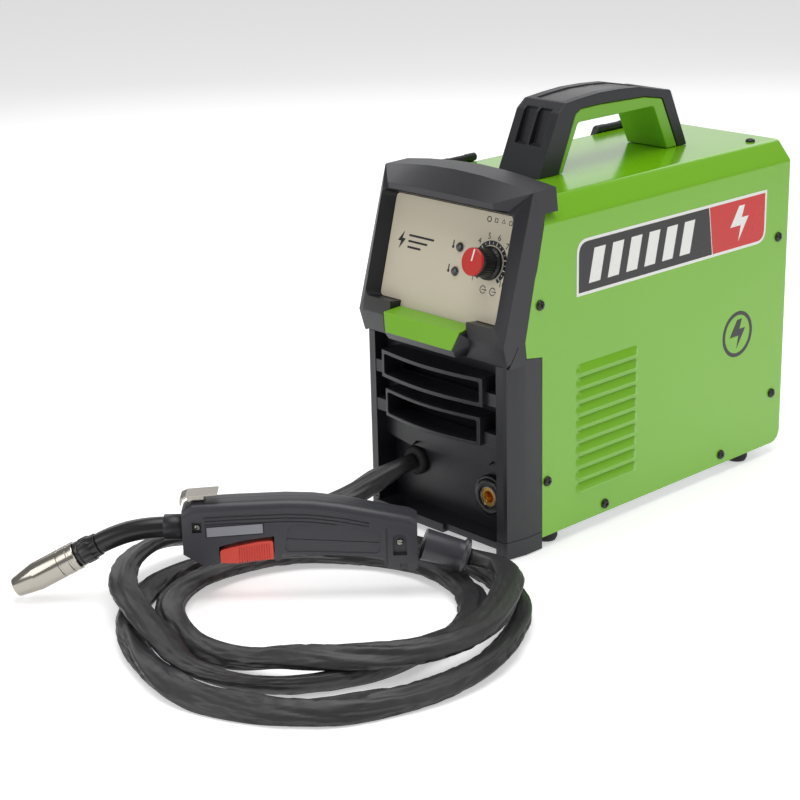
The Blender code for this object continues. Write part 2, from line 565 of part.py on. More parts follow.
def fan():
    x, z = FAN_AT
    rear = REAR_FACE - 0.0015 - GAP
    front = rear - FAN_DEPTH
    frame = block("fan_frame", (x - FAN_HALF, front, z - FAN_HALF), (x + FAN_HALF, rear, z + FAN_HALF))
    cut(frame, drum("fan_bore", 0.0375, (x, front - 0.01, z), 0.05, "y", 36), CASE)
    bars = block("fan_bar", (x - 0.0385, rear - 0.0030, z - 0.0030), (x + 0.0385, rear, z + 0.0030))
    add(frame, bars, CASE)
    add(frame, drum("fan_seat", 0.0140, (x, rear - 0.0030, z), 0.0030, "y", 24), CASE)
    keep(frame, CASE, BLACK)
    centre = (x, front + 0.0020, z)
    rotor = drum("fan_rotor", 0.0150, centre, 0.0180, "y", 24)
    work = bmesh.new()
    for number in range(7):
        made = bmesh.ops.create_cube(work, size=1.0)["verts"]
        bmesh.ops.scale(work, vec=(0.0230, 0.0170, 0.0012), verts=made)
        bmesh.ops.rotate(work, matrix=Quat((1.0, 0.0, 0.0), math.radians(35)).to_matrix(), verts=made)
        bmesh.ops.translate(work, vec=(0.0245, 0.0, 0.0), verts=made)
        bmesh.ops.rotate(work, matrix=Quat((0.0, 1.0, 0.0), math.tau * number / 7).to_matrix(),
                         verts=made)
    blades = from_bmesh("fan_blades", work)
    blades.location = (x, front + 0.0110, z)
    add(rotor, blades, CASE)
    keep(rotor, CASE, BLACK)


def power_switch():
    x, z = SWITCH_AT
    body = block("switch_body", (x - 0.0100, 0.3080, z - 0.0150),
                 (x + 0.0100, REAR_FACE + 0.0010, z + 0.0150))
    add(body, block("switch_rim", (x - 0.0120, REAR_FACE + 0.0004, z - 0.0170),
                    (x + 0.0120, REAR_FACE + 0.0024, z + 0.0170)), CASE)
    cut(body, block("switch_pocket", (x - 0.0080, 0.3160, z - 0.0133),
                    (x + 0.0080, 0.3400, z + 0.0133)), CASE)
    keep(body, CASE, BLACK)
    y = 0.3230
    shape = [(y + 0.0062, z + 0.0105), (y - 0.0025, z + 0.0100), (y - 0.0020, z - 0.0105),
             (y + 0.0010, z - 0.0105), (y + 0.0030, z)]
    keep(slab("switch_rocker", shape, "x", x - 0.0075, x + 0.0075), CASE, RED)


def mains_gland():
    profile = [(0.0050, 0.0140), (0.0085, 0.0140), (0.0125, 0.0040), (0.0125, 0.0004),
               (0.0095, 0.0004), (0.0095, -0.0100), (0.0050, -0.0100)]
    keep(turned("mains_gland", profile, (INLET_AT[0], REAR_FACE, INLET_AT[1]),
                (-math.pi / 2, 0.0, 0.0), 24), CASE, BLACK)


# ---- inside, right: power electronics -----------------------------------------------------
def centre_wall():
    wall = block("centre_wall", (WALL_X - 0.0006, 0.0230, 0.0128), (WALL_X + 0.0006, 0.3190, 0.2960))
    cut(wall, drum("motor_shaft_hole", 0.0060, (-0.03, DRIVE_AT[0], DRIVE_AT[1]), 0.03, "x", 20), CASE)
    keep(wall, CASE, STEEL)


def power_board():
    board = block("power_board", (0.0000, 0.0950, 0.0180), (0.0750, 0.2300, 0.0196))
    for number, (x, y) in enumerate(((0.006, 0.101), (0.069, 0.101), (0.006, 0.224), (0.069, 0.224))):
        add(board, drum(f"board_post_{number}", 0.0030, (x, y, 0.0128), 0.0060, "z", 12), CASE)
    keep(board, CASE, BOARD)
    sink = block("heatsink", (0.0040, 0.1060, 0.0200), (0.0360, 0.2180, 0.0600))
    fins = [((0.0065 + 0.0050 * i, 0.1, 0.0260), (0.0090 + 0.0050 * i, 0.23, 0.07)) for i in range(6)]
    cut(sink, blocks("fin_cutter", fins), CASE)
    keep(sink, CASE, ALUMINIUM)
    core = block("transformer", (0.0430, 0.1300, 0.0200), (0.0720, 0.1900, 0.0700))
    add(core, block("winding", (0.0400, 0.1420, 0.0280), (0.0750, 0.1780, 0.0620)), CASE)
    keep(core, CASE, WINDING)


# ---- inside, left: wire spool and feeder --------------------------------------------------
def spool():
    y, z = SPOOL_AT
    along = (0.0, math.pi / 2, 0.0)
    place = (SPOOL_OUT, y, z)
    reel = [(0.0085, 0.045), (SPOOL_R, 0.045), (SPOOL_R, 0.042), (0.019, 0.042), (0.019, 0.003),
            (SPOOL_R, 0.003), (SPOOL_R, 0.0), (0.0085, 0.0)]
    keep(turned("wire_spool", reel, place, along, 36), CASE, BLACK)
    wire = [(0.0194, 0.0416), (0.0400, 0.0416), (0.0400, 0.0034), (0.0194, 0.0034)]
    keep(turned("welding_wire", wire, place, along, 36), CASE, COPPER)
    shaft = [(0.0, 0.0640), (0.0040, 0.0640), (0.0040, 0.0565), (0.0080, 0.0565), (0.0080, 0.0050),
             (0.0180, 0.0050), (0.0180, 0.0), (0.0, 0.0)]
    keep(turned("spool_spindle", shaft, (WALL_X - 0.0010, y, z), (0.0, -math.pi / 2, 0.0), 24), CASE, BLACK)
    nut = turned("spool_nut", [(0.0044, 0.0050), (0.0110, 0.0050), (0.0110, 0.0), (0.0044, 0.0)],
                 (SPOOL_OUT - 0.0010, y, z), (0.0, -math.pi / 2, 0.0), 24)
    keep(nut, CASE, BLACK)


def feeder():
    y, z = DRIVE_AT
    plate = block("feed_plate", (-0.0180, 0.0240, 0.0160), (-0.0130, 0.0900, 0.0900))
    cut(plate, drum("feed_shaft_hole", 0.0060, (-0.03, y, z), 0.03, "x", 20), CASE)
    keep(plate, CASE, ALUMINIUM)
    motor = drum("feed_motor", 0.0180, (-0.0110, y, z), 0.0450, "x", 28)
    add(motor, drum("feed_motor_shaft", 0.0030, (-0.0310, y, z), 0.0250, "x", 16), CASE)
    keep(motor, CASE, STEEL)
    along = (0.0, math.pi / 2, 0.0)
    roll = [(0.0034, 0.009), (DRIVE_R, 0.009), (DRIVE_R, 0.0055), (0.0142, 0.0045), (DRIVE_R, 0.0035),
            (DRIVE_R, 0.0), (0.0034, 0.0)]
    keep(turned("drive_roll", roll, (-0.0285, y, z), along, 28), CASE, STEEL)
    high = z + DRIVE_R + PRESS_R + 0.0010
    press = [(0.0034, 0.009), (PRESS_R, 0.009), (PRESS_R, 0.0), (0.0034, 0.0)]
    keep(turned("pressure_roll", press, (-0.0285, y, high), along, 24), CASE, STEEL)
    pivot_y, pivot_z = ARM_PIVOT
    shape = [(pivot_y - 0.0050, pivot_z - 0.0050), (0.0660, high - 0.0050), (0.0860, 0.0720),
             (0.0860, 0.0790), (0.0560, 0.0790), (pivot_y - 0.0050, pivot_z + 0.0050)]
    arm = slab("pressure_arm", shape, "x", -0.0345, -0.0295)
    add(arm, drum("roll_pin", 0.0030, (-0.0300, y, high), 0.0100, "x", 16), CASE)
    add(arm, drum("pivot_pin", 0.0030, (-0.0300, pivot_y, pivot_z), 0.0115, "x", 16), CASE)
    keep(arm, CASE, BLACK)
    knob = drum("tension_knob", 0.0060, (-0.0320, 0.0790, 0.0794), 0.0150, "z", 20)
    keep(knob, CASE, RED)


# ---- torch --------------------------------------------------------------------------------
def tube(name, points, radius, resolution):
    curve = bpy.data.curves.new(name, "CURVE")
    curve.dimensions = "3D"
    curve.bevel_depth = radius
    curve.bevel_resolution = resolution
    curve.use_fill_caps = True
    spline = curve.splines.new("POLY")
    spline.points.add(len(points) - 1)
    for slot, point in zip(spline.points, points):
        slot.co = (*point, 1.0)
    curve.materials.append(RUBBER)
    return bpy.data.objects.new(name, curve)


def smooth_line(route, count):
    """Evenly spaced points on a smooth curve through the route's points."""
    points = [Vector(p) for p in route]
    points = [2 * points[0] - points[1]] + points + [2 * points[-1] - points[-2]]
    fine = []
    for a, b, c, d in zip(points, points[1:], points[2:], points[3:]):
        for step in range(16):
            t = step / 16
            fine.append(0.5 * (2 * b + (c - a) * t + (2 * a - 5 * b + 4 * c - d) * t * t
                               + (3 * b - a - 3 * c + d) * t ** 3))
    fine.append(points[-2])
    lengths = [0.0]
    for before, after in zip(fine, fine[1:]):
        lengths.append(lengths[-1] + (after - before).length)
    line = []
    slot = 0
    for number in range(count):
        goal = lengths[-1] * number / (count - 1)
        while slot < len(fine) - 2 and lengths[slot + 1] < goal:
            slot += 1
        share = (goal - lengths[slot]) / (lengths[slot + 1] - lengths[slot])
        line.append(fine[slot].lerp(fine[slot + 1], min(1.0, share)))
    return line


NOSE_TURN = (0.0, math.radians(62.34), 0.0)
NOSE_PLACE = (-0.1378, 0.0, 0.0111)


def nose():
    nozzle = [(0.0098, 0.0586), (NOZZLE_R, 0.0586), (NOZZLE_R, 0.0200), (NOZZLE_TIP_R, 0.0),
              (0.0066, 0.0), (0.0098, 0.0200)]
    keep(turned("nozzle", nozzle, NOSE_PLACE, NOSE_TURN), TORCH, NICKEL)
    tip = [(0.0, 0.0760), (0.0034, 0.0760), (0.0034, 0.0120), (0.0022, 0.0080), (0.0, 0.0080)]
    keep(turned("contact_tip", tip, NOSE_PLACE, NOSE_TURN, 16), TORCH, COPPER)
    collar = [(0.0038, 0.0780), (0.0090, 0.0780), (0.0100, 0.0740), (0.0100, 0.0590), (0.0038, 0.0590)]
    keep(turned("neck_collar", collar, NOSE_PLACE, NOSE_TURN, 24), TORCH, BLACK)
    bend = [(-0.0681, 0.0, 0.0476), (-0.0600, 0.0, 0.0515), (-0.0510, 0.0, 0.0550),
            (-0.0410, 0.0, 0.0578), (-0.0290, 0.0, 0.0596), (-0.0150, 0.0, 0.0603), (-0.0004, 0.0, 0.0603)]
    keep(tube("swan_neck", bend, NECK_R, 4), TORCH, None)
    sleeve = [(0.0092, 0.0), (0.0104, 0.0), (0.0104, -0.0150), (0.0092, -0.0150)]
    keep(turned("neck_sleeve", sleeve, (-0.0004, 0.0, 0.0603), (0.0, math.pi / 2, 0.0), 24), TORCH, BLACK)


HANDLE_SIDE = [(0.0, 0.0418), (0.0167, 0.0314), (0.0285, 0.0333), (0.0285, 0.0480), (0.0725, 0.0560),
               (0.0725, 0.0350), (0.0755, 0.0347), (0.0790, 0.0398), (0.1157, 0.0389),
               (0.1580, 0.0352), (0.1618, 0.0264), (0.1830, 0.0233), (0.1860, 0.0262),
               (0.1860, 0.0655), (0.1250, 0.0810), (0.0817, 0.0850), (0.0077, 0.0828), (0.0, 0.0800)]


def torch_grip():
    left = slab("torch_handle_left", HANDLE_SIDE, "y", 0.0002, TORCH_HALF)
    keep(left, TORCH, BLACK)
    right = slab("torch_handle_right", HANDLE_SIDE, "y", -TORCH_HALF, -0.0002)
    keep(right, TORCH, BLACK)
    trigger = [(0.0292, 0.0337), (0.0450, 0.0332), (0.0716, 0.0362), (0.0716, 0.0515), (0.0292, 0.0440)]
    keep(slab("trigger", trigger, "y", -TRIGGER_HALF, TRIGGER_HALF), TORCH, RED)
    hook = [(0.0010, 0.0842), (0.0280, 0.0862), (0.0280, 0.0880), (0.0060, 0.0895), (0.0, 0.0895)]
    keep(slab("hang_hook", hook, "y", -0.0060, 0.0060), TORCH, NICKEL)
    rear = [(0.0, 0.0365), (0.0144, 0.0365), (0.0144, 0.0330), (0.0112, 0.0310), (0.0130, 0.0),
            (0.0, 0.0)]
    keep(turned("torch_rear_sleeve", rear, (0.1908, 0.0, 0.0405), (0.0, math.radians(108), 0.0)),
         TORCH, BLACK)


def torch_cable():
    line = smooth_line(CABLE_ROUTE, CABLE_POINTS)
    line.insert(1, line[0] + Vector(GLAND_AXIS) * 0.004)
    line.insert(-1, line[-1] + Vector(FLANGE_AXIS) * 0.004)
    keep(tube("torch_cable", line, CABLE_R, 2), CASE, None)


# ---- build --------------------------------------------------------------------------------
base_tray()
feet()
cover()
left_door()
hinges()
latches()
front_bezel()
control_plate()
badge()
control_knob()
lamps()
front_surround()
louvres()
recess_panel()
gland_and_socket()
handle()
rear_panel()
fan()
power_switch()
mains_gland()
centre_wall()
power_board()
spool()
feeder()
nose()
torch_grip()
torch_cable()
bpy.context.view_layer.update()
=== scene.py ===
import math
import bmesh
import bpy
from mathutils import Matrix, Vector, noise


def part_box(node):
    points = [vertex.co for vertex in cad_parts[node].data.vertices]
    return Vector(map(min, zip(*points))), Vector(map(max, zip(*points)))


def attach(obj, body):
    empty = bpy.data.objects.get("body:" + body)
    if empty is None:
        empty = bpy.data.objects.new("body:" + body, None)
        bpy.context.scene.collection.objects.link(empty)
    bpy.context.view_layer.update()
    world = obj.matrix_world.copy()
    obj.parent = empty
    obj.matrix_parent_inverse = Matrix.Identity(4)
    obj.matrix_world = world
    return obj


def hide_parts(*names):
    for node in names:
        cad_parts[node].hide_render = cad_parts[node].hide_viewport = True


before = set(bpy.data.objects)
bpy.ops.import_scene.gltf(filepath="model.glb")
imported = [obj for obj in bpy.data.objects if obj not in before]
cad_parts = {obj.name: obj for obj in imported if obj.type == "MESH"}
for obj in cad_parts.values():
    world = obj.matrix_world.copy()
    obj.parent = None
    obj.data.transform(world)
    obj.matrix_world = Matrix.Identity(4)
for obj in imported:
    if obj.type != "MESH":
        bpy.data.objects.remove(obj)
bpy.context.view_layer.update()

# ==== camera, lights and floor =================================================================
# The view is from the front right, a little above, with a long lens.
# Big soft boxes give the enamel its broad pale reflections; the floor is a pale sweep.
# Case coordinates start at the middle of the cover's front edge, on the floor.
cover_low, cover_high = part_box("cover")
CASE = Matrix.Translation(((cover_low[0] + cover_high[0]) / 2, cover_high[1] - 0.3300, 0.0))

azimuth, elevation, roll = math.radians(47.38), math.radians(18.92), math.radians(-1.42)
back = Vector((math.sin(azimuth) * math.cos(elevation), -math.cos(azimuth) * math.cos(elevation),
               math.sin(elevation)))
level = Vector((math.cos(azimuth), math.sin(azimuth), 0.0))
upright = back.cross(level)
right = math.cos(roll) * level + math.sin(roll) * upright
up = math.cos(roll) * upright - math.sin(roll) * level
lens = bpy.data.cameras.new("camera")
lens.sensor_width = 36.0
lens.lens = 86.23
lens.clip_end = 20.0
camera = bpy.data.objects.new("camera", lens)
bpy.context.scene.collection.objects.link(camera)
camera.matrix_world = CASE @ (Matrix.Translation((1.10405, -1.09603, 0.6471))
                              @ Matrix((right, up, back)).transposed().to_4x4())
bpy.context.scene.camera = camera


def light_box(name, place, aim, size, power, colour=(1.0, 1.0, 1.0)):
    lamp = bpy.data.lights.new(name, "AREA")
    lamp.shape = "RECTANGLE"
    lamp.size, lamp.size_y = size
    lamp.energy = power
    lamp.color = colour
    holder = bpy.data.objects.new(name, lamp)
    bpy.context.scene.collection.objects.link(holder)
    holder.location = place
    holder.rotation_euler = (Vector(aim) - Vector(place)).to_track_quat("-Z", "Y").to_euler()


light_box("top_light", (0.1, 0.0, 1.9), (0.0, 0.1, 0.1), (1.5, 1.5), 21.0)
light_box("right_light", (1.7, 0.5, 0.9), (0.0, 0.1, 0.15), (0.9, 1.2), 4.0)
light_box("front_light", (-0.5, -1.9, 0.9), (0.0, -0.1, 0.15), (1.3, 0.9), 9.0)
light_box("left_light", (-1.7, 0.2, 1.0), (0.0, 0.1, 0.2), (0.9, 0.9), 4.0)
light_box("back_card", (-1.45, 1.45, 0.95), (0.0, 0.1, 0.3), (2.0, 1.0), 3.6)
light_box("rear_light", (-0.3, 2.0, 1.2), (0.0, 0.1, 0.2), (1.2, 0.9), 4.0)

scene = bpy.context.scene
scene.view_settings.view_transform = "Standard"
scene.view_settings.look = "None"
scene.world = bpy.data.worlds.new("studio")
scene.world.use_nodes = True
scene.world.node_tree.nodes["Background"].inputs["Color"].default_value = (1.0, 1.0, 1.0, 1.0)
scene.world.node_tree.nodes["Background"].inputs["Strength"].default_value = 0.30

floor_work = bmesh.new()
bmesh.ops.create_grid(floor_work, x_segments=1, y_segments=1, size=6.0)
floor_mesh = bpy.data.meshes.new("floor")
floor_work.to_mesh(floor_mesh)
floor_work.free()
floor = bpy.data.objects.new("floor", floor_mesh)
floor.location = (0.0, 0.0, -0.0004)
scene.collection.objects.link(floor)
floor_paint = bpy.data.materials.new("floor")
floor_paint.use_nodes = True
floor_shader = floor_paint.node_tree.nodes["Principled BSDF"]
floor_shader.inputs["Base Color"].default_value = (0.93, 0.93, 0.93, 1.0)
floor_shader.inputs["Roughness"].default_value = 0.9
floor_shader.inputs["Specular IOR Level"].default_value = 0.1
floor_shader.inputs["Emission Color"].default_value = (1.0, 1.0, 1.0, 1.0)
floor_shader.inputs["Emission Strength"].default_value = 0.42
floor_mesh.materials.append(floor_paint)


# ==== torch cable ==============================================================================
# A soft black sheath over the wire liner and gas hose: flattened, twisting and creased as it lies.
# Rings along a smooth line through the route's own points; each ring is a pinched oval.
def srgb(r, g, b):
    """A colour given as it looks, in 0-255, as linear values."""
    values = []
    for part in (r, g, b):
        part = part / 255.0
        values.append(part / 12.92 if part <= 0.04045 else ((part + 0.055) / 1.055) ** 2.4)
    return (*values, 1.0)


def surface(name, colour, rough, metal=0.0, grain=180.0, bump=0.05, depth=0.0002, tint=0.12,
            spread=0.12, coat=0.0, specular=0.5, stretch=(1.0, 1.0, 1.0)):
    """A finish with mottled colour, uneven gloss and a fine grain in its surface."""
    paint = bpy.data.materials.new(name)
    paint.use_nodes = True
    tree = paint.node_tree
    shader = tree.nodes["Principled BSDF"]
    shader.inputs["Metallic"].default_value = metal
    shader.inputs["Coat Weight"].default_value = coat
    shader.inputs["Coat Roughness"].default_value = 0.12
    shader.inputs["Specular IOR Level"].default_value = specular
    where = tree.nodes.new("ShaderNodeTexCoord")
    sized = tree.nodes.new("ShaderNodeMapping")
    sized.inputs["Scale"].default_value = stretch
    tree.links.new(where.outputs["Object"], sized.inputs["Vector"])
    broad = tree.nodes.new("ShaderNodeTexNoise")
    broad.inputs["Scale"].default_value = 14.0
    broad.inputs["Detail"].default_value = 5.0
    tree.links.new(sized.outputs["Vector"], broad.inputs["Vector"])
    mix = tree.nodes.new("ShaderNodeMix")
    mix.data_type = "RGBA"
    mix.inputs["A"].default_value = tuple(c * (1.0 - tint) for c in colour[:3]) + (1.0,)
    mix.inputs["B"].default_value = tuple(min(1.0, c * (1.0 + tint)) for c in colour[:3]) + (1.0,)
    tree.links.new(broad.outputs["Fac"], mix.inputs["Factor"])
    tree.links.new(mix.outputs["Result"], shader.inputs["Base Color"])
    fine = tree.nodes.new("ShaderNodeTexNoise")
    fine.inputs["Scale"].default_value = grain * 10.0
    fine.inputs["Detail"].default_value = 3.0
    tree.links.new(sized.outputs["Vector"], fine.inputs["Vector"])
    gloss = tree.nodes.new("ShaderNodeMapRange")
    gloss.inputs["To Min"].default_value = max(0.02, rough - spread)
    gloss.inputs["To Max"].default_value = min(1.0, rough + spread)
    tree.links.new(broad.outputs["Fac"], gloss.inputs["Value"])
    tree.links.new(gloss.outputs["Result"], shader.inputs["Roughness"])
    relief = tree.nodes.new("ShaderNodeBump")
    relief.inputs["Strength"].default_value = bump
    relief.inputs["Distance"].default_value = depth
    tree.links.new(fine.outputs["Fac"], relief.inputs["Height"])
    tree.links.new(relief.outputs["Normal"], shader.inputs["Normal"])
    return paint


SHEATH = surface("cable_sheath", srgb(48, 47, 49), 0.42, grain=60.0, bump=0.18, depth=0.0006,
                 tint=0.25, spread=0.10, specular=0.55)

CABLE_ROUTE = [
    (-0.0440, -0.0264, 0.0525), (-0.0450, -0.0410, 0.0510), (-0.0530, -0.0620, 0.0430),
    (-0.0620, -0.0880, 0.0310), (-0.0700, -0.1160, 0.0245), (-0.0765, -0.1470, 0.0225),
    (-0.0810, -0.1800, 0.0150), (-0.0850, -0.2150, 0.0080), (-0.0860, -0.2500, 0.0074),
    (-0.0770, -0.2860, 0.0074), (-0.0520, -0.3220, 0.0074), (-0.0140, -0.3520, 0.0074),
    (0.0350, -0.3720, 0.0074), (0.0920, -0.3770, 0.0074), (0.1420, -0.3620, 0.0074),
    (0.1840, -0.3280, 0.0074), (0.2080, -0.2800, 0.0074), (0.2150, -0.2320, 0.0074),
    (0.2080, -0.1820, 0.0074), (0.1840, -0.1330, 0.0074), (0.1500, -0.1000, 0.0074),
    (0.1100, -0.0820, 0.0074), (0.0600, -0.0760, 0.0074), (0.0100, -0.0800, 0.0074),
    (-0.0350, -0.0920, 0.0074), (-0.0740, -0.1190, 0.0074), (-0.1030, -0.1600, 0.0080),
    (-0.1150, -0.2050, 0.0150), (-0.1170, -0.2480, 0.0225), (-0.1020, -0.2890, 0.0230),
    (-0.0680, -0.3200, 0.0230), (-0.0280, -0.3360, 0.0225), (0.0120, -0.3440, 0.0160),
    (0.0550, -0.3510, 0.0085), (0.0980, -0.3450, 0.0074), (0.1340, -0.3220, 0.0074),
    (0.1560, -0.2850, 0.0074), (0.1660, -0.2400, 0.0074), (0.1630, -0.1950, 0.0074),
    (0.1500, -0.1520, 0.0074), (0.1220, -0.1220, 0.0074), (0.0840, -0.1080, 0.0074),
    (0.0440, -0.1080, 0.0074), (0.0050, -0.1240, 0.0074), (-0.0300, -0.1550, 0.0074),
    (-0.0520, -0.1950, 0.0074), (-0.0600, -0.2350, 0.0074), (-0.0550, -0.2700, 0.0074),
    (-0.0360, -0.2980, 0.0074), (-0.0020, -0.3160, 0.0074), (0.0400, -0.3260, 0.0080),
    (0.0840, -0.3230, 0.0130), (0.1220, -0.3080, 0.0210), (0.1560, -0.2800, 0.0230),
    (0.1810, -0.2440, 0.0230), (0.1920, -0.2050, 0.0230), (0.1870, -0.1680, 0.0230),
    (0.1730, -0.1400, 0.0235), (0.1560, -0.1160, 0.0235), (0.1370, -0.0960, 0.0235),
    (0.1190, -0.0890, 0.0240), (0.1049, -0.0947, 0.0261), (0.0987, -0.1014, 0.0291)]


def smooth_line(route, spacing):
    """Evenly spaced points, in the row frame, on a smooth curve through the route's points."""
    points = [CASE @ Vector(p) for p in route]
    points = [2 * points[0] - points[1]] + points + [2 * points[-1] - points[-2]]
    fine = []
    for a, b, c, d in zip(points, points[1:], points[2:], points[3:]):
        for step in range(16):
            t = step / 16
            fine.append(0.5 * (2 * b + (c - a) * t + (2 * a - 5 * b + 4 * c - d) * t * t
                               + (3 * b - a - 3 * c + d) * t ** 3))
    fine.append(points[-2])
    lengths = [0.0]
    for before, after in zip(fine, fine[1:]):
        lengths.append(lengths[-1] + (after - before).length)
    count = int(lengths[-1] / spacing)
    line, slot = [], 0
    for number in range(count + 1):
        goal = lengths[-1] * number / count
        while slot < len(fine) - 2 and lengths[slot + 1] < goal:
            slot += 1
        share = (goal - lengths[slot]) / (lengths[slot + 1] - lengths[slot])
        line.append(fine[slot].lerp(fine[slot + 1], min(1.0, share)))
    return line, lengths[-1]


def sheath(name, line, half_wide, half_high, ring=40, seed=0.0):
    """A creased soft tube: the oval leans over to either side and its skin folds along it."""
    work = bmesh.new()
    rings = []
    last = len(line) - 1
    for number, centre in enumerate(line):
        ahead = (line[min(last, number + 1)] - line[max(0, number - 1)]).normalized()
        side = ahead.cross(Vector((0.0, 0.0, 1.0))).normalized()
        above = side.cross(ahead)
        along = number / last
        ends = min(1.0, number / 10.0, (last - number) / 10.0)
        metres = number * 0.004
        lean = ends * 1.60 * noise.noise(Vector((metres * 5.0 + seed, 1.7, 0.3)))
        pinch = ends * 0.9 * noise.noise(Vector((metres * 9.0 + seed, 5.2, 2.1)))
        wide = half_wide * (1.0 + 0.12 * pinch) * ends + 0.0070 * (1.0 - ends)
        high = half_high * (1.0 - 0.18 * pinch) * ends + 0.0070 * (1.0 - ends)
        verts = []
        for step in range(ring):
            turn = math.tau * step / ring
            fold = noise.noise(Vector((metres * 11.0 + seed, 1.7 * math.cos(turn + metres * 9),
                                       1.7 * math.sin(turn + metres * 9))))
            twist = turn + metres * 8
            crease = abs(noise.noise(Vector((metres * 22.0 + seed + turn * 1.1, 3.0 * math.cos(twist),
                                             3.0 * math.sin(twist)))))
            swell = 1.0 + ends * (0.30 * fold - 0.85 * max(0.0, 0.18 - crease))
            x, y = wide * math.cos(turn) * swell, high * math.sin(turn) * swell
            x, y = x * math.cos(lean) - y * math.sin(lean), x * math.sin(lean) + y * math.cos(lean)
            point = centre + side * x + above * y
            point.z = max(point.z, 0.0006)
            verts.append(work.verts.new(point))
        rings.append(verts)
    for one, two in zip(rings, rings[1:]):
        for step in range(ring):
            work.faces.new((one[step], one[(step + 1) % ring], two[(step + 1) % ring], two[step]))
    work.faces.new(rings[0])
    work.faces.new(rings[-1])
    bmesh.ops.recalc_face_normals(work, faces=work.faces)
    mesh = bpy.data.meshes.new(name)
    work.to_mesh(mesh)
    work.free()
    mesh.shade_smooth()
    mesh.materials.append(SHEATH)
    obj = bpy.data.objects.new(name, mesh)
    scene.collection.objects.link(obj)
    return obj


cable_line, cable_length = smooth_line(CABLE_ROUTE, 0.004)
cable = sheath("cable_sheath", cable_line, 0.0112, 0.0062)
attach(cable, "machine")
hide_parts("torch_cable")


# ==== finishes for the CAD pieces ==============================================================
# Each carried-over piece gets its own mottled, grained finish, never one flat colour.
# Edges are eased with a small bevel so they catch the light.
ENAMEL = surface("green_enamel", srgb(118, 184, 12), 0.20, grain=35.0, bump=0.04, depth=0.0003,
                 tint=0.03, spread=0.05, coat=0.55)
PLASTIC = surface("black_plastic", srgb(31, 31, 37), 0.36, grain=130.0, bump=0.22, depth=0.0003,
                  tint=0.12, spread=0.06)
SMOOTH_BLACK = surface("smooth_black_plastic", srgb(28, 28, 30), 0.28, grain=90.0, bump=0.08,
                       depth=0.0002, tint=0.12, spread=0.06)
PLATE = surface("beige_plate", srgb(206, 197, 176), 0.38, grain=160.0, bump=0.10, depth=0.0002,
                tint=0.02, spread=0.05)
GREEN_PLASTIC = surface("green_plastic", srgb(122, 182, 40), 0.30, grain=80.0, bump=0.06,
                        depth=0.0002, tint=0.04, spread=0.06)
RED_PLASTIC = surface("red_plastic", srgb(190, 38, 30), 0.36, grain=110.0, bump=0.12, depth=0.0002,
                      tint=0.06, spread=0.06)
RUBBER = surface("rubber", srgb(30, 30, 31), 0.7, grain=90.0, bump=0.3, depth=0.0004, tint=0.2)
STEEL = surface("zinc_steel", srgb(180, 182, 184), 0.36, 1.0, grain=60.0, bump=0.1, tint=0.1,
                stretch=(1.0, 1.0, 8.0))
NICKEL = surface("nickel", srgb(172, 167, 158), 0.17, 1.0, grain=60.0, bump=0.06, tint=0.06,
                 spread=0.07, stretch=(1.0, 1.0, 4.0))
BRASS = surface("brass", srgb(214, 168, 88), 0.24, 1.0, grain=60.0, bump=0.08, tint=0.1)
COPPER = surface("copper", srgb(210, 128, 82), 0.3, 1.0, grain=60.0, bump=0.12, tint=0.12)
ALUMINIUM = surface("aluminium", srgb(196, 198, 200), 0.38, 1.0, grain=70.0, bump=0.12, tint=0.08,
                    stretch=(6.0, 1.0, 1.0))
BOARD = surface("circuit_board", srgb(28, 96, 52), 0.45, grain=60.0, bump=0.2, tint=0.25)
TAPE = surface("winding_tape", srgb(190, 160, 70), 0.45, grain=40.0, bump=0.2, tint=0.15)
LENS = surface("lamp_lens", srgb(62, 64, 68), 0.18, grain=50.0, bump=0.04, tint=0.1)

FINISHES = {
    ENAMEL: ("cover", "left_door", "rear_panel"),
    PLASTIC: ("front_bezel", "front_surround", "louvre_upper", "louvre_lower", "recess_panel",
              "fan_frame", "fan_rotor", "switch_body", "wire_spool", "spool_spindle", "spool_nut",
              "pressure_arm", "mains_gland", "hinge_front", "hinge_rear", "door_latch_front",
              "door_latch_rear", "handle_shell"),
    SMOOTH_BLACK: ("control_knob", "socket_body", "neck_collar", "swan_neck", "neck_sleeve",
                   "torch_handle_left", "torch_handle_right", "torch_rear_sleeve"),
    PLATE: ("control_plate",),
    GREEN_PLASTIC: ("badge", "handle_inner"),
    RED_PLASTIC: ("knob_cap", "switch_rocker", "tension_knob", "trigger"),
    RUBBER: ("cable_gland", "foot_front_left", "foot_front_right", "foot_rear_left", "foot_rear_right"),
    STEEL: ("base_tray", "knob_potentiometer", "centre_wall", "feed_motor", "drive_roll", "pressure_roll"),
    NICKEL: ("nozzle", "hang_hook"),
    BRASS: ("socket_insert",),
    COPPER: ("welding_wire", "contact_tip"),
    ALUMINIUM: ("heatsink", "feed_plate"),
    BOARD: ("power_board",),
    TAPE: ("transformer",),
    LENS: ("lamp_power", "lamp_thermal"),
}
for finish, names in FINISHES.items():
    for name in names:
        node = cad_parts[name]
        node.data.materials.clear()
        node.data.materials.append(finish)


def ease(obj, width, segments=2, angle=25.0):
    """A small rounded edge on every sharp corner."""
    edge = obj.modifiers.new("eased", "BEVEL")
    edge.width = width
    edge.segments = segments
    edge.limit_method = "ANGLE"
    edge.angle_limit = math.radians(angle)
    edge.harden_normals = True
    obj.data.shade_smooth()


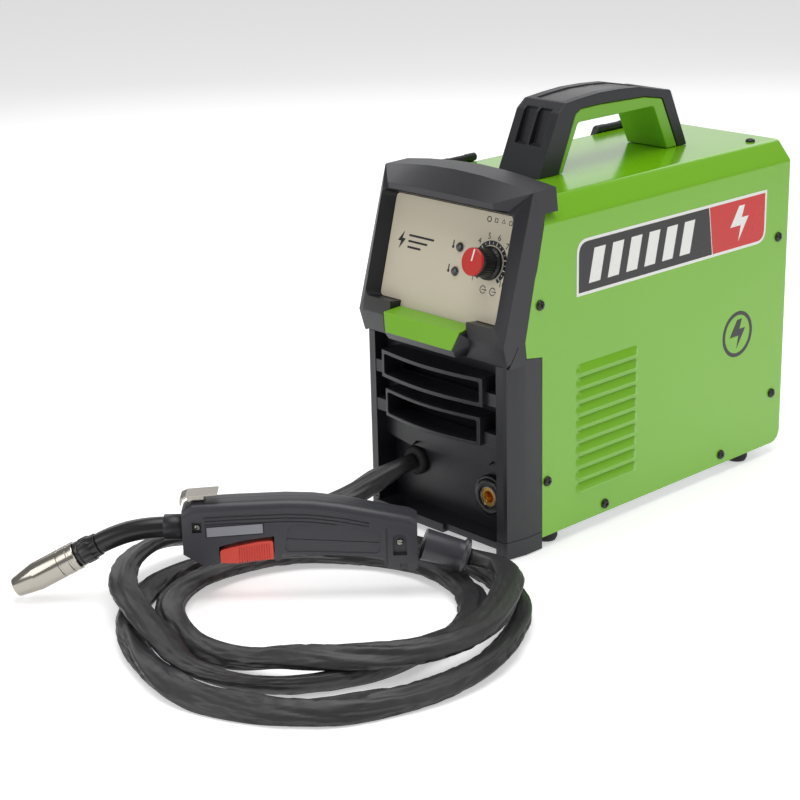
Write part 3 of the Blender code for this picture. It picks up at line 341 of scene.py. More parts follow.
for name, width in (("front_bezel", 0.0012), ("front_surround", 0.0008), ("recess_panel", 0.0003),
                    ("badge", 0.0008), ("control_plate", 0.0003), ("base_tray", 0.0003),
                    ("left_door", 0.0004), ("rear_panel", 0.0004), ("switch_body", 0.0006),
                    ("switch_rocker", 0.0008), ("fan_frame", 0.0006), ("pressure_arm", 0.0006),
                    ("power_board", 0.0003), ("heatsink", 0.0003), ("transformer", 0.0012),
                    ("feed_plate", 0.0005), ("feed_motor", 0.0008), ("door_latch_front", 0.0005),
                    ("door_latch_rear", 0.0005), ("hinge_front", 0.0005), ("hinge_rear", 0.0005),
                    ("tension_knob", 0.0006), ("hang_hook", 0.0004), ("knob_cap", 0.0003)):
    ease(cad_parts[name], width)

# ==== green steel cover ========================================================================
# 1.2 mm sheet in gloss enamel, folded once over the top with rounded bends at the shoulders.
# Ten louvres are pressed out of the right side; the front edge follows the plastic front.


def place(name, work, matrix, finish, body="machine", eased=0.0, segments=2, angle=25.0):
    """Makes a finished piece from a bmesh drawn in its own frame, and lets it ride on its body."""
    bmesh.ops.recalc_face_normals(work, faces=work.faces)
    work.transform(matrix)
    mesh = bpy.data.meshes.new(name)
    work.to_mesh(mesh)
    work.free()
    mesh.materials.append(finish)
    obj = bpy.data.objects.new(name, mesh)
    scene.collection.objects.link(obj)
    mesh.shade_smooth()
    if eased > 0.0:
        ease(obj, eased, segments, angle)
    else:
        mesh.set_sharp_from_angle(angle=math.radians(40))
    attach(obj, body)
    return obj


def carve(work, cutters, operation="DIFFERENCE"):
    """The bmesh with each cutter bmesh taken from it, or joined to it."""
    mesh = bpy.data.meshes.new("carved")
    bmesh.ops.recalc_face_normals(work, faces=work.faces)
    work.to_mesh(mesh)
    work.free()
    base = bpy.data.objects.new("carved", mesh)
    scene.collection.objects.link(base)
    tools = []
    for cutter in cutters:
        shape = bpy.data.meshes.new("cutter")
        bmesh.ops.recalc_face_normals(cutter, faces=cutter.faces)
        cutter.to_mesh(shape)
        cutter.free()
        other = bpy.data.objects.new("cutter", shape)
        scene.collection.objects.link(other)
        tools.append(other)
        step = base.modifiers.new("cut", "BOOLEAN")
        step.operation = operation
        step.object = other
        step.solver = "EXACT"
    bpy.context.view_layer.update()
    seen = base.evaluated_get(bpy.context.evaluated_depsgraph_get())
    result = bmesh.new()
    result.from_mesh(seen.to_mesh())
    for spare in tools + [base]:
        bpy.data.objects.remove(spare, do_unlink=True)
    bmesh.ops.remove_doubles(result, verts=result.verts, dist=0.000004)
    bmesh.ops.dissolve_limit(result, angle_limit=0.01, verts=result.verts, edges=result.edges)
    return result


def fillet(points, radius, steps=5, closed=True, skip=()):
    """A polygon with its corners rounded."""
    out = []
    count = len(points)
    for number, corner in enumerate(points):
        if number in skip or (not closed and number in (0, count - 1)):
            out.append(tuple(corner))
            continue
        here = Vector(corner)
        one = (Vector(points[number - 1]) - here)
        two = (Vector(points[(number + 1) % count]) - here)
        half = one.angle(two) / 2
        reach = min(radius / math.tan(half), one.length * 0.48, two.length * 0.48)
        start, end = here + one.normalized() * reach, here + two.normalized() * reach
        for step in range(steps + 1):
            t = step / steps
            out.append(tuple((1 - t) ** 2 * start + 2 * t * (1 - t) * here + t * t * end))
    return out


def prism(points, axis, low, high):
    """A flat outline with a thickness along one axis."""
    work = bmesh.new()
    spin = {"x": lambda a, b, c: (c, a, b), "y": lambda a, b, c: (a, c, b), "z": lambda a, b, c: (a, b, c)}
    lower = [work.verts.new(spin[axis](a, b, low)) for a, b in points]
    face = work.faces.new(lower)
    made = bmesh.ops.extrude_face_region(work, geom=[face])["geom"]
    move = {"x": (high - low, 0, 0), "y": (0, high - low, 0), "z": (0, 0, high - low)}[axis]
    bmesh.ops.translate(work, vec=move, verts=[v for v in made if isinstance(v, bmesh.types.BMVert)])
    return work


def box(low, high):
    return prism([(low[0], low[1]), (high[0], low[1]), (high[0], high[1]), (low[0], high[1])], "z",
                 low[2], high[2])


def lathe(profile, steps=40, axis="z"):
    """(radius, height) pairs turned about an axis."""
    work = bmesh.new()
    row = [work.verts.new((r, 0.0, h)) for r, h in profile]
    edges = [work.edges.new(pair) for pair in zip(row, row[1:])]
    if profile[0][0] > 0.0 and profile[-1][0] > 0.0 and profile[0] != profile[-1]:
        edges.append(work.edges.new((row[-1], row[0])))
    bmesh.ops.spin(work, geom=row + edges, cent=(0, 0, 0), axis=(0, 0, 1), angle=math.tau, steps=steps,
                   use_merge=True, use_normal_flip=False, use_duplicate=False)
    bmesh.ops.remove_doubles(work, verts=work.verts, dist=0.000003)
    turn = {"z": Matrix.Identity(4), "x": Matrix.Rotation(math.pi / 2, 4, "Y"),
            "-y": Matrix.Rotation(math.pi / 2, 4, "X"), "y": Matrix.Rotation(-math.pi / 2, 4, "X"),
            "-x": Matrix.Rotation(-math.pi / 2, 4, "Y")}[axis]
    work.transform(turn)
    return work


def moved(work, vec):
    bmesh.ops.translate(work, vec=vec, verts=work.verts)
    return work


outer = fillet([(0.0860, 0.0100), (0.0860, 0.2810), (0.0715, 0.2980), (-0.0715, 0.2980),
                (-0.0860, 0.2810), (-0.0860, 0.0100)], 0.0060, 6, closed=False)
inner = fillet([(0.0848, 0.0100), (0.0848, 0.2806), (0.0709, 0.2968), (-0.0709, 0.2968),
                (-0.0848, 0.2806), (-0.0848, 0.0100)], 0.0050, 6, closed=False)
shell = prism(outer + inner[::-1], "y", -0.0300, 0.3300)
front_line = [(0.0000, 0.0000), (0.0000, 0.1697), (-0.0185, 0.1727), (-0.0202, 0.1863),
              (-0.0088, 0.2370), (-0.0060, 0.2447), (0.0045, 0.2900), (0.0060, 0.3000),
              (0.0060, 0.3200), (-0.0600, 0.3200), (-0.0600, 0.0000)]
corner_cut = prism([(0.3301, 0.0090), (0.3301, 0.0210), (0.3290, 0.0170), (0.3270, 0.0135),
                    (0.3235, 0.0112), (0.3190, 0.0099), (0.3150, 0.0090)], "x", -0.1, 0.1)
door_hole = box((-0.1, 0.0220, 0.0215), (-0.0712, 0.3160, 0.3100))
cover_cuts = [prism(front_line, "x", -0.1, 0.1), door_hole, corner_cut]
for row in range(10):
    base = 0.0419 + 0.0118 * row
    cover_cuts.append(box((0.0800, 0.0450, base - 0.0030), (0.0900, 0.1170, base + 0.0035)))
cover = place("cover_sheet", carve(shell, cover_cuts), CASE, ENAMEL, eased=0.0003)
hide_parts("cover")

# ==== pressed louvres ==========================================================================
# Each louvre is a lip of the same sheet pushed outwards, open underneath and closed at its ends.
for row in range(10):
    middle = 0.0419 + 0.0118 * row
    work = bmesh.new()
    rings = []
    for step in range(29):
        y = 0.0412 + 0.0793 * step / 28
        inset = min(y - 0.0412, 0.1205 - y) / 0.0048
        swell = math.sqrt(max(0.0, 1.0 - (1.0 - min(1.0, inset)) ** 2))
        line = ((0.0, 0.0050), (0.0006, 0.0044), (0.0013, 0.0028), (0.0019, 0.0006), (0.0026, -0.0018),
                (0.0029, -0.0030), (0.0027, -0.0038), (0.0018, -0.0041), (0.0014, -0.0038), (0.0016, -0.0024))
        rings.append([work.verts.new((0.0858 + x * swell, y, middle + z * (0.55 + 0.45 * swell)))
                      for x, z in line])
    for one, two in zip(rings, rings[1:]):
        for a, b, c, d in zip(one, one[1:], two[1:], two):
            work.faces.new((a, b, c, d))
    place(f"louvre_{row}", work, CASE, ENAMEL)

# ==== screws ===================================================================================
# Black pan-head screws with a cross recess hold the cover, the front and the rear panel.


def screw_head(radius=0.0044, tall=0.0026, cross=0.0024):
    head = lathe([(0.0, tall), (radius * 0.45, tall), (radius * 0.80, tall * 0.86), (radius * 0.96,
                                                                                     tall * 0.55),
                  (radius, tall * 0.25), (radius, 0.0), (0.0, 0.0)], 28)
    bars = [box((-cross, -0.0005, tall * 0.4), (cross, 0.0005, tall * 2)),
            box((-0.0005, -cross, tall * 0.4), (0.0005, cross, tall * 2))]
    return carve(head, bars)


TO_RIGHT = Matrix.Rotation(math.pi / 2, 4, "Y")
TO_LEFT = Matrix.Rotation(-math.pi / 2, 4, "Y")
TO_REAR = Matrix.Rotation(-math.pi / 2, 4, "X")
side_screws = ((-0.0031, 0.2145), (0.0058, 0.0595), (0.0793, 0.0178), (0.2405, 0.0192),
               (0.3146, 0.0609), (0.3157, 0.2115))
for number, (y, z) in enumerate(side_screws):
    spun = Matrix.Rotation(0.5 + number * 1.1, 4, "Z")
    place(f"side_screw_{number}", screw_head(),
          CASE @ Matrix.Translation((0.0861, y, z)) @ TO_RIGHT @ spun, SMOOTH_BLACK)
for number, (y, z) in enumerate(((-0.0031, 0.2145), (0.0058, 0.0595), (0.0110, 0.1400), (0.3230, 0.0609),
                                 (0.3230, 0.2115))):
    place(f"left_screw_{number}", screw_head(),
          CASE @ Matrix.Translation((-0.0861, y, z)) @ TO_LEFT @ Matrix.Rotation(number, 4,
                                                                                 "Z"), SMOOTH_BLACK)
for number, x in enumerate((-0.0560, 0.0598)):
    place(f"top_screw_{number}", screw_head(), CASE @ Matrix.Translation((x, 0.3040, 0.2981)), SMOOTH_BLACK)
for number, (x, z) in enumerate(((-0.074, 0.020), (0.074, 0.020), (-0.060, 0.285), (0.060, 0.285))):
    place(f"rear_screw_{number}", screw_head(0.0036),
          CASE @ Matrix.Translation((x, 0.3266, z)) @ TO_REAR @ Matrix.Rotation(number, 4, "Z"), SMOOTH_BLACK)

# ==== side sticker =============================================================================
# A printed vinyl sticker: white edge, black field, red end, with plain slanted bars and a spark.
WHITE_VINYL = surface("white_vinyl", srgb(236, 236, 232), 0.3, grain=60.0, bump=0.03, tint=0.02)
BLACK_VINYL = surface("black_vinyl", srgb(34, 32, 34), 0.26, grain=60.0, bump=0.03, tint=0.08)
RED_VINYL = surface("red_vinyl", srgb(206, 38, 34), 0.26, grain=60.0, bump=0.03, tint=0.04)
sticker = fillet([(0.0410, 0.2120), (0.0410, 0.2600), (0.2965, 0.2590), (0.2965, 0.2105)], 0.0130, 8,
                 skip=(0, 2))
place("sticker_edge", prism(sticker, "x", 0.08605, 0.08620), CASE, WHITE_VINYL)
field = fillet([(0.0436, 0.2146), (0.0436, 0.2574), (0.2130, 0.2567), (0.2190, 0.2136)], 0.0110, 8,
               skip=(0, 2, 3))
place("sticker_field", prism(field, "x", 0.08615, 0.08630), CASE, BLACK_VINYL)
end = fillet([(0.2200, 0.2136), (0.2140, 0.2567), (0.2939, 0.2564), (0.2939, 0.2131)], 0.0100, 8,
             skip=(0, 1, 2))
place("sticker_end", prism(end, "x", 0.08615, 0.08630), CASE, RED_VINYL)
for bar in range(6):
    start = 0.0560 + 0.0235 * bar
    slant = [(start, 0.2210), (start + 0.0065, 0.2500), (start + 0.0205, 0.2500), (start + 0.0140, 0.2210)]
    place(f"sticker_bar_{bar}", prism(slant, "x", 0.08625, 0.08636), CASE, WHITE_VINYL)
bolt = [(0.2440, 0.2330), (0.2560, 0.2510), (0.2640, 0.2510), (0.2600, 0.2400), (0.2700, 0.2400),
        (0.2560, 0.2190), (0.2590, 0.2330)]
place("sticker_spark", prism(bolt, "x", 0.08625, 0.08636), CASE, WHITE_VINYL)
rounds = [(math.cos(math.tau * i / 64), math.sin(math.tau * i / 64)) for i in range(64)]
mark_ring = prism([(0.2600 + 0.0215 * a, 0.1310 + 0.0215 * b) for a, b in rounds], "x", 0.08605, 0.08618)
mark_hole = prism([(0.2600 + 0.0180 * a, 0.1310 + 0.0180 * b) for a, b in rounds], "x", 0.0850, 0.0870)
place("side_mark_ring", carve(mark_ring, [mark_hole]), CASE, BLACK_VINYL)
mark_bolt = [(0.2600 + (y - 0.2570) * 0.85, 0.1310 + (z - 0.2350) * 0.85) for y, z in bolt]
place("side_mark_bolt", prism(mark_bolt, "x", 0.08605, 0.08618), CASE, BLACK_VINYL)

# ==== control plate, dial and symbols ==========================================================
# A beige printed plate. A black dial ring with white ticks goes round the red-capped knob.
# The numbers are printed; simple arrows and thermometer signs stand in for the small print.
PANEL = CASE @ Matrix.Translation((0.0, -0.03505, 0.24655)) @ Matrix.Rotation(math.radians(-15.0), 4, "X")
PRINT = surface("printed_black", srgb(26, 26, 28), 0.35, grain=60.0, bump=0.03, tint=0.1)
PRINT_WHITE = surface("printed_white", srgb(232, 232, 228), 0.35, grain=60.0, bump=0.03, tint=0.02)
FACE = 0.0122
KNOB = (0.0490, 0.0035)
plate_outline = fillet([(-0.0710, -0.0444), (0.0710, -0.0444), (0.0710, 0.0444), (-0.0710, 0.0444)], 0.0045,
                       8)
plate_work = carve(prism(plate_outline, "y", FACE, FACE + 0.0014),
                   [box((-0.0448, FACE, -0.0560), (0.0448, FACE + 0.0013, -0.0400))], "UNION")
control_plate = place("control_plate_print", plate_work, PANEL, PLATE, eased=0.0002)
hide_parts("control_plate")


def ring_sector(inside, outside, first, last, steps=48):
    """Part of a flat ring, angles in degrees, as an outline."""
    turns = [math.radians(first + (last - first) * i / steps) for i in range(steps + 1)]
    return [(outside * math.cos(t), outside * math.sin(t)) for t in turns] \
        + [(inside * math.cos(t), inside * math.sin(t)) for t in reversed(turns)]


def on_plate(outline, x, z, thick=0.00012, base=0.0):
    shifted = [(x + a, z + b) for a, b in outline]
    return prism(shifted, "y", FACE - base - thick, FACE - base + 0.00005)


place("dial_ring", on_plate(ring_sector(0.0150, 0.0186, -52, 232), *KNOB), PANEL, PRINT)
for tick in range(19):
    turn = math.radians(222 - 264 * tick / 18)
    inside, outside, half = (0.0153, 0.0180, 0.00030) if tick % 2 == 0 else (0.0160, 0.0176, 0.00022)
    a, n = Vector((math.cos(turn), math.sin(turn))), Vector((-math.sin(turn), math.cos(turn)))
    corners = [a * inside + n * half, a * outside + n * half, a * outside - n * half, a * inside - n * half]
    place(f"dial_tick_{tick}", on_plate(corners, *KNOB, base=0.0001), PANEL, PRINT_WHITE)


def lettering(name, text, size, x, z, finish, matrix, depth):
    curve = bpy.data.curves.new(name, "FONT")
    curve.body = text
    curve.size = size
    curve.align_x = "CENTER"
    curve.align_y = "CENTER"
    curve.extrude = 0.00005
    curve.resolution_u = 3
    holder = bpy.data.objects.new(name, curve)
    scene.collection.objects.link(holder)
    bpy.context.view_layer.update()
    seen = holder.evaluated_get(bpy.context.evaluated_depsgraph_get())
    work = bmesh.new()
    work.from_mesh(seen.to_mesh())
    bpy.data.objects.remove(holder, do_unlink=True)
    bmesh.ops.remove_doubles(work, verts=work.verts, dist=0.000002)
    work.transform(Matrix.Translation((x, depth, z)) @ Matrix.Rotation(math.pi / 2, 4, "X"))
    return place(name, work, matrix, finish)


for number in range(1, 11):
    turn = math.radians(222 - 264 * (number - 1) / 9)
    lettering(f"dial_number_{number}", str(number), 0.0072, KNOB[0] + 0.0222 * math.cos(turn),
              KNOB[1] + 0.0222 * math.sin(turn), PRINT, PANEL, FACE - 0.00006)
for number, (x, z) in enumerate(((0.0050, 0.0122), (0.0040, -0.0080))):
    place(f"thermometer_bulb_{number}", on_plate(ring_sector(0.0, 0.0013, 0, 359, 20)[:21], x, z - 0.0022),
          PANEL, PRINT)
    stem = fillet([(-0.0006, -0.002), (0.0006, -0.002), (0.0006, 0.0034), (-0.0006, 0.0034)], 0.0006, 4)
    place(f"thermometer_stem_{number}", on_plate(stem, x, z), PANEL, PRINT)
for number, x in enumerate((0.0460, 0.0570)):
    place(f"wire_sign_ring_{number}", on_plate(ring_sector(0.0027, 0.0034, 30, 330, 24), x, -0.0185), PANEL,
          PRINT)
    arrow = [(-0.0010, -0.0003), (0.0026, -0.0003), (0.0026, -0.0010), (0.0042, 0.0), (0.0026, 0.0010),
             (0.0026, 0.0003), (-0.0010, 0.0003)]
    place(f"wire_sign_arrow_{number}", on_plate(arrow, x, -0.0185), PANEL, PRINT)

# the knob has fine flutes and a white pointer on its red cap
knob_work = bmesh.new()
rows = ((0.0112, 0.0194), (0.0116, 0.0188), (0.0119, 0.0120), (0.0121, 0.0045), (0.0138, 0.0030), (0.0140,
                                                                                                   0.0008))
knob_rings = []
for level_number, (radius, height) in enumerate(rows):
    ring = []
    for step in range(120):
        turn = math.tau * step / 120
        deep = 0.00045 if (step % 4 in (1, 2) and level_number < 4) else 0.0
        ring.append(knob_work.verts.new(((radius - deep) * math.cos(turn), (radius - deep) * math.sin(turn),
                                         height)))
    knob_rings.append(ring)
for one, two in zip(knob_rings, knob_rings[1:]):
    for step in range(120):
        knob_work.faces.new((one[step], one[(step + 1) % 120], two[(step + 1) % 120], two[step]))
knob_work.faces.new(knob_rings[0])
knob_work.faces.new(knob_rings[-1])
TO_USER = Matrix.Rotation(math.pi / 2, 4, "X")
knob_place = PANEL @ Matrix.Translation((KNOB[0], 0.0120, KNOB[1])) @ TO_USER
knob_body = place("control_knob_fluted", knob_work, knob_place, SMOOTH_BLACK, body="knob")
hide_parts("control_knob")
pointer = prism([(-0.0007, 0.0005), (0.0007, 0.0005), (0.0007, 0.0105), (-0.0007, 0.0105)], "z", 0.0219,
                0.02225)
place("knob_pointer", pointer, knob_place @ Matrix.Rotation(math.radians(-8), 4, "Z"), PRINT_WHITE,
      body="knob")

# ==== carrying handle ==========================================================================
# A black moulded arch over a green inner shell, bolted to the top of the case.
# The front leg has two finger-deep pockets with a rib between; the grip has a sunk glossy panel.
foot_z = 0.2984
arch_out = [(0.0620, foot_z), (0.0860, 0.3500), (0.0960, 0.3575), (0.1180, 0.3596), (0.1400, 0.3610),
            (0.1650, 0.3606), (0.1900, 0.3590), (0.2250, 0.3520), (0.2330, 0.3512), (0.2576, foot_z)]
arch_in = [(0.2450, foot_z), (0.2224, 0.3450), (0.1978, 0.3495), (0.1410, 0.3512), (0.1152, 0.3507),
           (0.1081, 0.3469), (0.0870, foot_z)]
arch = fillet(arch_out + arch_in, 0.0050, 4, skip=(0, 9, 10, 16))
sunk = [(0.1010, 0.3900), (0.1010, 0.3568), (0.1180, 0.3584), (0.1400, 0.3598), (0.1650, 0.3594),
        (0.1900, 0.3578), (0.2210, 0.3516), (0.2210, 0.3900)]
pocket = [(0.0660, 0.3220), (0.0860, 0.3640), (0.0905, 0.3500), (0.0800, 0.3230)]
handle_cuts = [prism(sunk, "x", -0.0150, 0.0150), prism(pocket, "x", -0.0150, -0.0012),
               prism(pocket, "x", 0.0012, 0.0150)]
handle_black = place("handle_black", carve(prism(arch, "x", -0.0240, 0.0240), handle_cuts), CASE, PLASTIC,
                     eased=0.0011, segments=3)
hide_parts("handle_shell")
panel_line = [(y, z + 0.0001) for y, z in sunk[1:-1]] + [(y, z - 0.0006) for y, z in reversed(sunk[1:-1])]
place("handle_gloss_panel", prism(panel_line, "x", -0.0146, 0.0146), CASE, SMOOTH_BLACK, eased=0.0002)
green_arch = [(0.2446, foot_z), (0.2220, 0.3446), (0.1976, 0.3490), (0.1410, 0.3507), (0.1155, 0.3502),
              (0.1085, 0.3465), (0.0875, foot_z), (0.0925, foot_z), (0.1120, 0.3390), (0.2110, 0.3390),
              (0.2310, foot_z)]
green_arch = fillet(green_arch, 0.0045, 4, skip=(0, 6, 7, 10))
handle_green = place("handle_green", prism(green_arch, "x", -0.0234, 0.0234), CASE, GREEN_PLASTIC,
                     eased=0.0009,
                     segments=3)
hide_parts("handle_inner")

# ==== louvre frames in the front ===============================================================
# Two moulded air intakes: bowed hollow frames with an arm to the pillar on each side.
for name, bottom, top, half, arm in (("louvre_upper", 0.1316, 0.1560, 0.0604, (0.1330, 0.1440)),
                                     ("louvre_lower", 0.0966, 0.1218, 0.0569, (0.0975, 0.1090))):
    bow = [(half - 2 * half * i / 14, -0.0445 - 0.0060 * math.sin(math.pi * i / 14)) for i in range(15)]
    body = prism([(-half, -0.0266), (half, -0.0266)] + bow, "z", bottom, top)
    rect = fillet([(-half + 0.0032, bottom + 0.0032), (half - 0.0032, bottom + 0.0032),
                   (half - 0.0032, top - 0.0032), (-half + 0.0032, top - 0.0032)], 0.0022, 4)
    body = carve(body, [prism(rect, "y", -0.0700, -0.0200)])
    arms = [box((mark * 0.0652 - 0.0080, -0.0405, arm[0]), (mark * 0.0652 + 0.0080, -0.0268, arm[1]))
            for mark in (-1, 1)]
    body = carve(body, arms, "UNION")
    louvre = place(name + "_frame", body, CASE, PLASTIC, eased=0.0010, segments=3)
    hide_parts(name)

# ==== torch ====================================================================================
# Two handle shells screwed together, a red ribbed trigger, a swan neck and a nickel gas nozzle.
TORCH = CASE @ Matrix.Translation((-0.0548, -0.2672, 0.0)) @ Matrix.Rotation(math.radians(47.2), 4, "Z")
TORCH_PLASTIC = surface("torch_plastic", srgb(60, 60, 66), 0.36, grain=130.0, bump=0.14, depth=0.0002,
                        tint=0.10, spread=0.06)
TRIGGER_RED = surface("trigger_red", srgb(226, 74, 58), 0.36, grain=120.0, bump=0.12, depth=0.0002,
                      tint=0.05, spread=0.06)
side_line = [(0.0000, 0.0418), (0.0167, 0.0314), (0.0285, 0.0333), (0.0285, 0.0480), (0.0480, 0.0530),
             (0.0725, 0.0560), (0.0725, 0.0350), (0.0755, 0.0347), (0.0790, 0.0398), (0.1157, 0.0389),
             (0.1580, 0.0352), (0.1618, 0.0264), (0.1830, 0.0233), (0.1860, 0.0262), (0.1860, 0.0655),
             (0.1800, 0.0690), (0.1560, 0.0740), (0.1250, 0.0808), (0.1030, 0.0840), (0.0817, 0.0850),
             (0.0400, 0.0842), (0.0077, 0.0828), (0.0000, 0.0780)]


def top_line(t):
    """Height of the handle's top along the torch."""
    marks = ((0.0, 0.0826), (0.0400, 0.0842), (0.0817, 0.0850), (0.1030, 0.0840), (0.1250, 0.0808),
             (0.1560, 0.0740), (0.1860, 0.0668))
    for (a, low_z), (b, high_z) in zip(marks, marks[1:]):
        if t <= b:
            return low_z + (high_z - low_z) * (t - a) / (b - a)
    return marks[-1][1]


def strip(first, last, drop, thick, count=16):
    """A band that follows the handle's top at a depth below it."""
    stations = [first + (last - first) * i / count for i in range(count + 1)]
    upper = [(t, top_line(t) - drop) for t in stations]
    return upper + [(t, z - thick) for t, z in reversed(upper)]


for name, mark, node in (("left", 1, "torch_handle_left"), ("right", -1, "torch_handle_right")):
    near, far = sorted((mark * 0.0001, mark * 0.0140))
    half_shell = prism(side_line, "y", near, far)
    crown = [e for e in half_shell.edges
             if all(abs(abs(v.co.y) - 0.0140) < 1e-5 and v.co.z > 0.0640 for v in e.verts)]
    bmesh.ops.bevel(half_shell, geom=crown, offset=0.0068, segments=5, profile=0.5, affect="EDGES",
                    clamp_overlap=True)
    skin = sorted((mark * 0.0132, mark * 0.0160))
    deep = sorted((mark * 0.0105, mark * 0.0160))
    grooves = [prism(strip(0.0180, 0.1480, 0.0098 + 0.0030 * i, 0.0012), "y", *skin) for i in range(3)]
    inset = fillet([(0.0800, 0.0420), (0.0980, 0.0421), (0.1560, 0.0390), (0.1570, 0.0575), (0.1250, 0.0640),
                    (0.1020, 0.0655), (0.0850, 0.0650)], 0.0050, 5)
    seam = [(0.0820, 0.0532), (0.1560, 0.0480), (0.1560, 0.0486), (0.0820, 0.0538)]
    slot = fillet([(0.1665, 0.0370), (0.1775, 0.0370), (0.1775, 0.0550), (0.1665, 0.0550)], 0.0050, 6,
                  skip=(0, 1))
    cuts = grooves + [prism(inset, "y", *skin), box((0.0080, deep[0], 0.0600), (0.0155, deep[1], 0.0690)),
                      prism(slot, "y", *deep), box((0.1610, skin[0], 0.0200), (0.1625, skin[1], 0.0600)),
                      prism(seam, "y", *sorted((mark * 0.0126, mark * 0.0160))),
                      box((0.1720, deep[0], 0.0200), (0.1780, deep[1], 0.0300))]
    shell = place(f"torch_shell_{name}", carve(half_shell, cuts), TORCH, TORCH_PLASTIC, eased=0.0007,
                  segments=3)
    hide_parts(node)
    face_out = Matrix.Rotation(-mark * math.pi / 2, 4, "X")
    for number, (t, z) in enumerate(((0.0118, 0.0640), (0.1720, 0.0475))):
        place(f"torch_screw_{name}_{number}", screw_head(0.0027, 0.0020, 0.0016),
              TORCH @ Matrix.Translation((t, mark * 0.0106, z)) @ face_out, NICKEL)
label = prism([(0.0195, 0.0565), (0.0640, 0.0590), (0.0638, 0.0668), (0.0195, 0.0643)], "y", -0.01418,
              -0.0138)
LABEL = surface("label_foil", srgb(150, 150, 158), 0.34, 0.3, grain=60.0, bump=0.05, tint=0.06)
place("torch_label", label, TORCH, LABEL, eased=0.0001)
label_frame = carve(prism([(0.0185, 0.0556), (0.0650, 0.0581), (0.0648, 0.0678), (0.0185, 0.0653)], "y",
                          -0.01412, -0.0138),
                    [prism([(0.0192, 0.0562), (0.0643, 0.0587), (0.0641, 0.0671), (0.0192, 0.0646)], "y",
                           -0.0150, -0.0130)])
place("torch_label_frame", label_frame, TORCH, PRINT)

trigger_side = fillet([(0.0292, 0.0338), (0.0450, 0.0331), (0.0716, 0.0362), (0.0716, 0.0519), (0.0600,
                                                                                                0.0512),
                       (0.0400, 0.0472), (0.0292, 0.0444)], 0.0020, 4)
ribs = []
for rib in range(13):
    t = 0.0440 + 0.0020 * rib
    for mark in (-1, 1):
        ribs.append(box((t, min(mark * 0.0126, mark * 0.0150), 0.0300),
                        (t + 0.0009, max(mark * 0.0126, mark * 0.0150), 0.0472 + 0.0002 * rib)))
    ribs.append(box((t, -0.0150, 0.0300), (t + 0.0009, 0.0150, 0.0344 + 0.00012 * rib)))
trigger = place("trigger_ribbed", carve(prism(trigger_side, "y", -0.0134, 0.0134), ribs), TORCH, TRIGGER_RED,
                body="trigger", eased=0.0003)
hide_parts("trigger")

NOSE = TORCH @ Matrix.Translation((-0.1378, 0.0, 0.0111)) @ Matrix.Rotation(math.radians(62.34), 4, "Y")
nozzle_line = [(0.0098, 0.0586), (0.0112, 0.0586), (0.0118, 0.0580), (0.0118, 0.0545), (0.0112, 0.0540),
               (0.0112, 0.0525), (0.0118, 0.0520), (0.0118, 0.0455), (0.0111, 0.0450), (0.0111, 0.0435),
               (0.0118, 0.0430), (0.0118, 0.0205), (0.0116, 0.0190), (0.0084, 0.0008), (0.0079, 0.0),
               (0.0069, 0.0), (0.0066, 0.0006), (0.0070, 0.0050), (0.0098, 0.0200)]
nozzle = place("gas_nozzle", lathe(nozzle_line, 56), NOSE, NICKEL)
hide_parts("nozzle")
tip_line = [(0.0006, 0.0150), (0.0034, 0.0760), (0.0034, 0.0110), (0.0026, 0.0062), (0.0018, 0.0056),
            (0.0007, 0.0056), (0.0006, 0.0080)]
tip = place("contact_tip_fine", lathe([(0.0, 0.0760)] + tip_line[1:] + [(0.0, 0.0080)], 24), NOSE, COPPER)
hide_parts("contact_tip")
place("nozzle_insulator", lathe([(0.0, 0.0210), (0.0064, 0.0205), (0.0066, 0.0190), (0.0036, 0.0185),
                                 (0.0, 0.0185)], 32), NOSE, SMOOTH_BLACK)


def fluted(rows, count, deep, steps):
    """A turned shape whose rows marked with 1 have flutes around them."""
    work = bmesh.new()
    rings = []
    for radius, height, cut in rows:
        ring = []
        for step in range(steps):
            turn = math.tau * step / steps
            r = radius - cut * deep * (0.5 + 0.5 * math.cos(count * turn))
            ring.append(work.verts.new((r * math.cos(turn), r * math.sin(turn), height)))
        rings.append(ring)
    for one, two in zip(rings, rings[1:]):
        for step in range(steps):
            work.faces.new((one[step], one[(step + 1) % steps], two[(step + 1) % steps], two[step]))
    work.faces.new(rings[0])
    work.faces.new(rings[-1])
    return work


collar_rows = ((0.0088, 0.0590, 0), (0.0100, 0.0592, 0), (0.0104, 0.0600, 0), (0.0104, 0.0618, 0),
               (0.0098, 0.0624, 0), (0.0106, 0.0632, 1), (0.0108, 0.0650, 1), (0.0108, 0.0705, 1),
               (0.0104, 0.0722, 1), (0.0096, 0.0730, 0), (0.0094, 0.0775, 0), (0.0088, 0.0780, 0))
collar = place("neck_collar_fluted", fluted(collar_rows, 12, 0.0010, 96), NOSE, SMOOTH_BLACK)
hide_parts("neck_collar")


def sweep(points, radius, ring=32, ribs=0.0):
    """A round tube along points."""
    work = bmesh.new()
    rings, last = [], len(points) - 1
    for number, centre in enumerate(points):
        ahead = (points[min(last, number + 1)] - points[max(0, number - 1)]).normalized()
        side = ahead.cross(Vector((0.0, 1.0, 0.0))).normalized()
        above = side.cross(ahead)
        r = radius if isinstance(radius, float) else radius(number / last)
        rings.append([work.verts.new(centre + side * r * math.cos(math.tau * i / ring)
                                     + above * r * math.sin(math.tau * i / ring)) for i in range(ring)])
    for one, two in zip(rings, rings[1:]):
        for i in range(ring):
            work.faces.new((one[i], one[(i + 1) % ring], two[(i + 1) % ring], two[i]))
    work.faces.new(rings[0])
    work.faces.new(rings[-1])
    return work


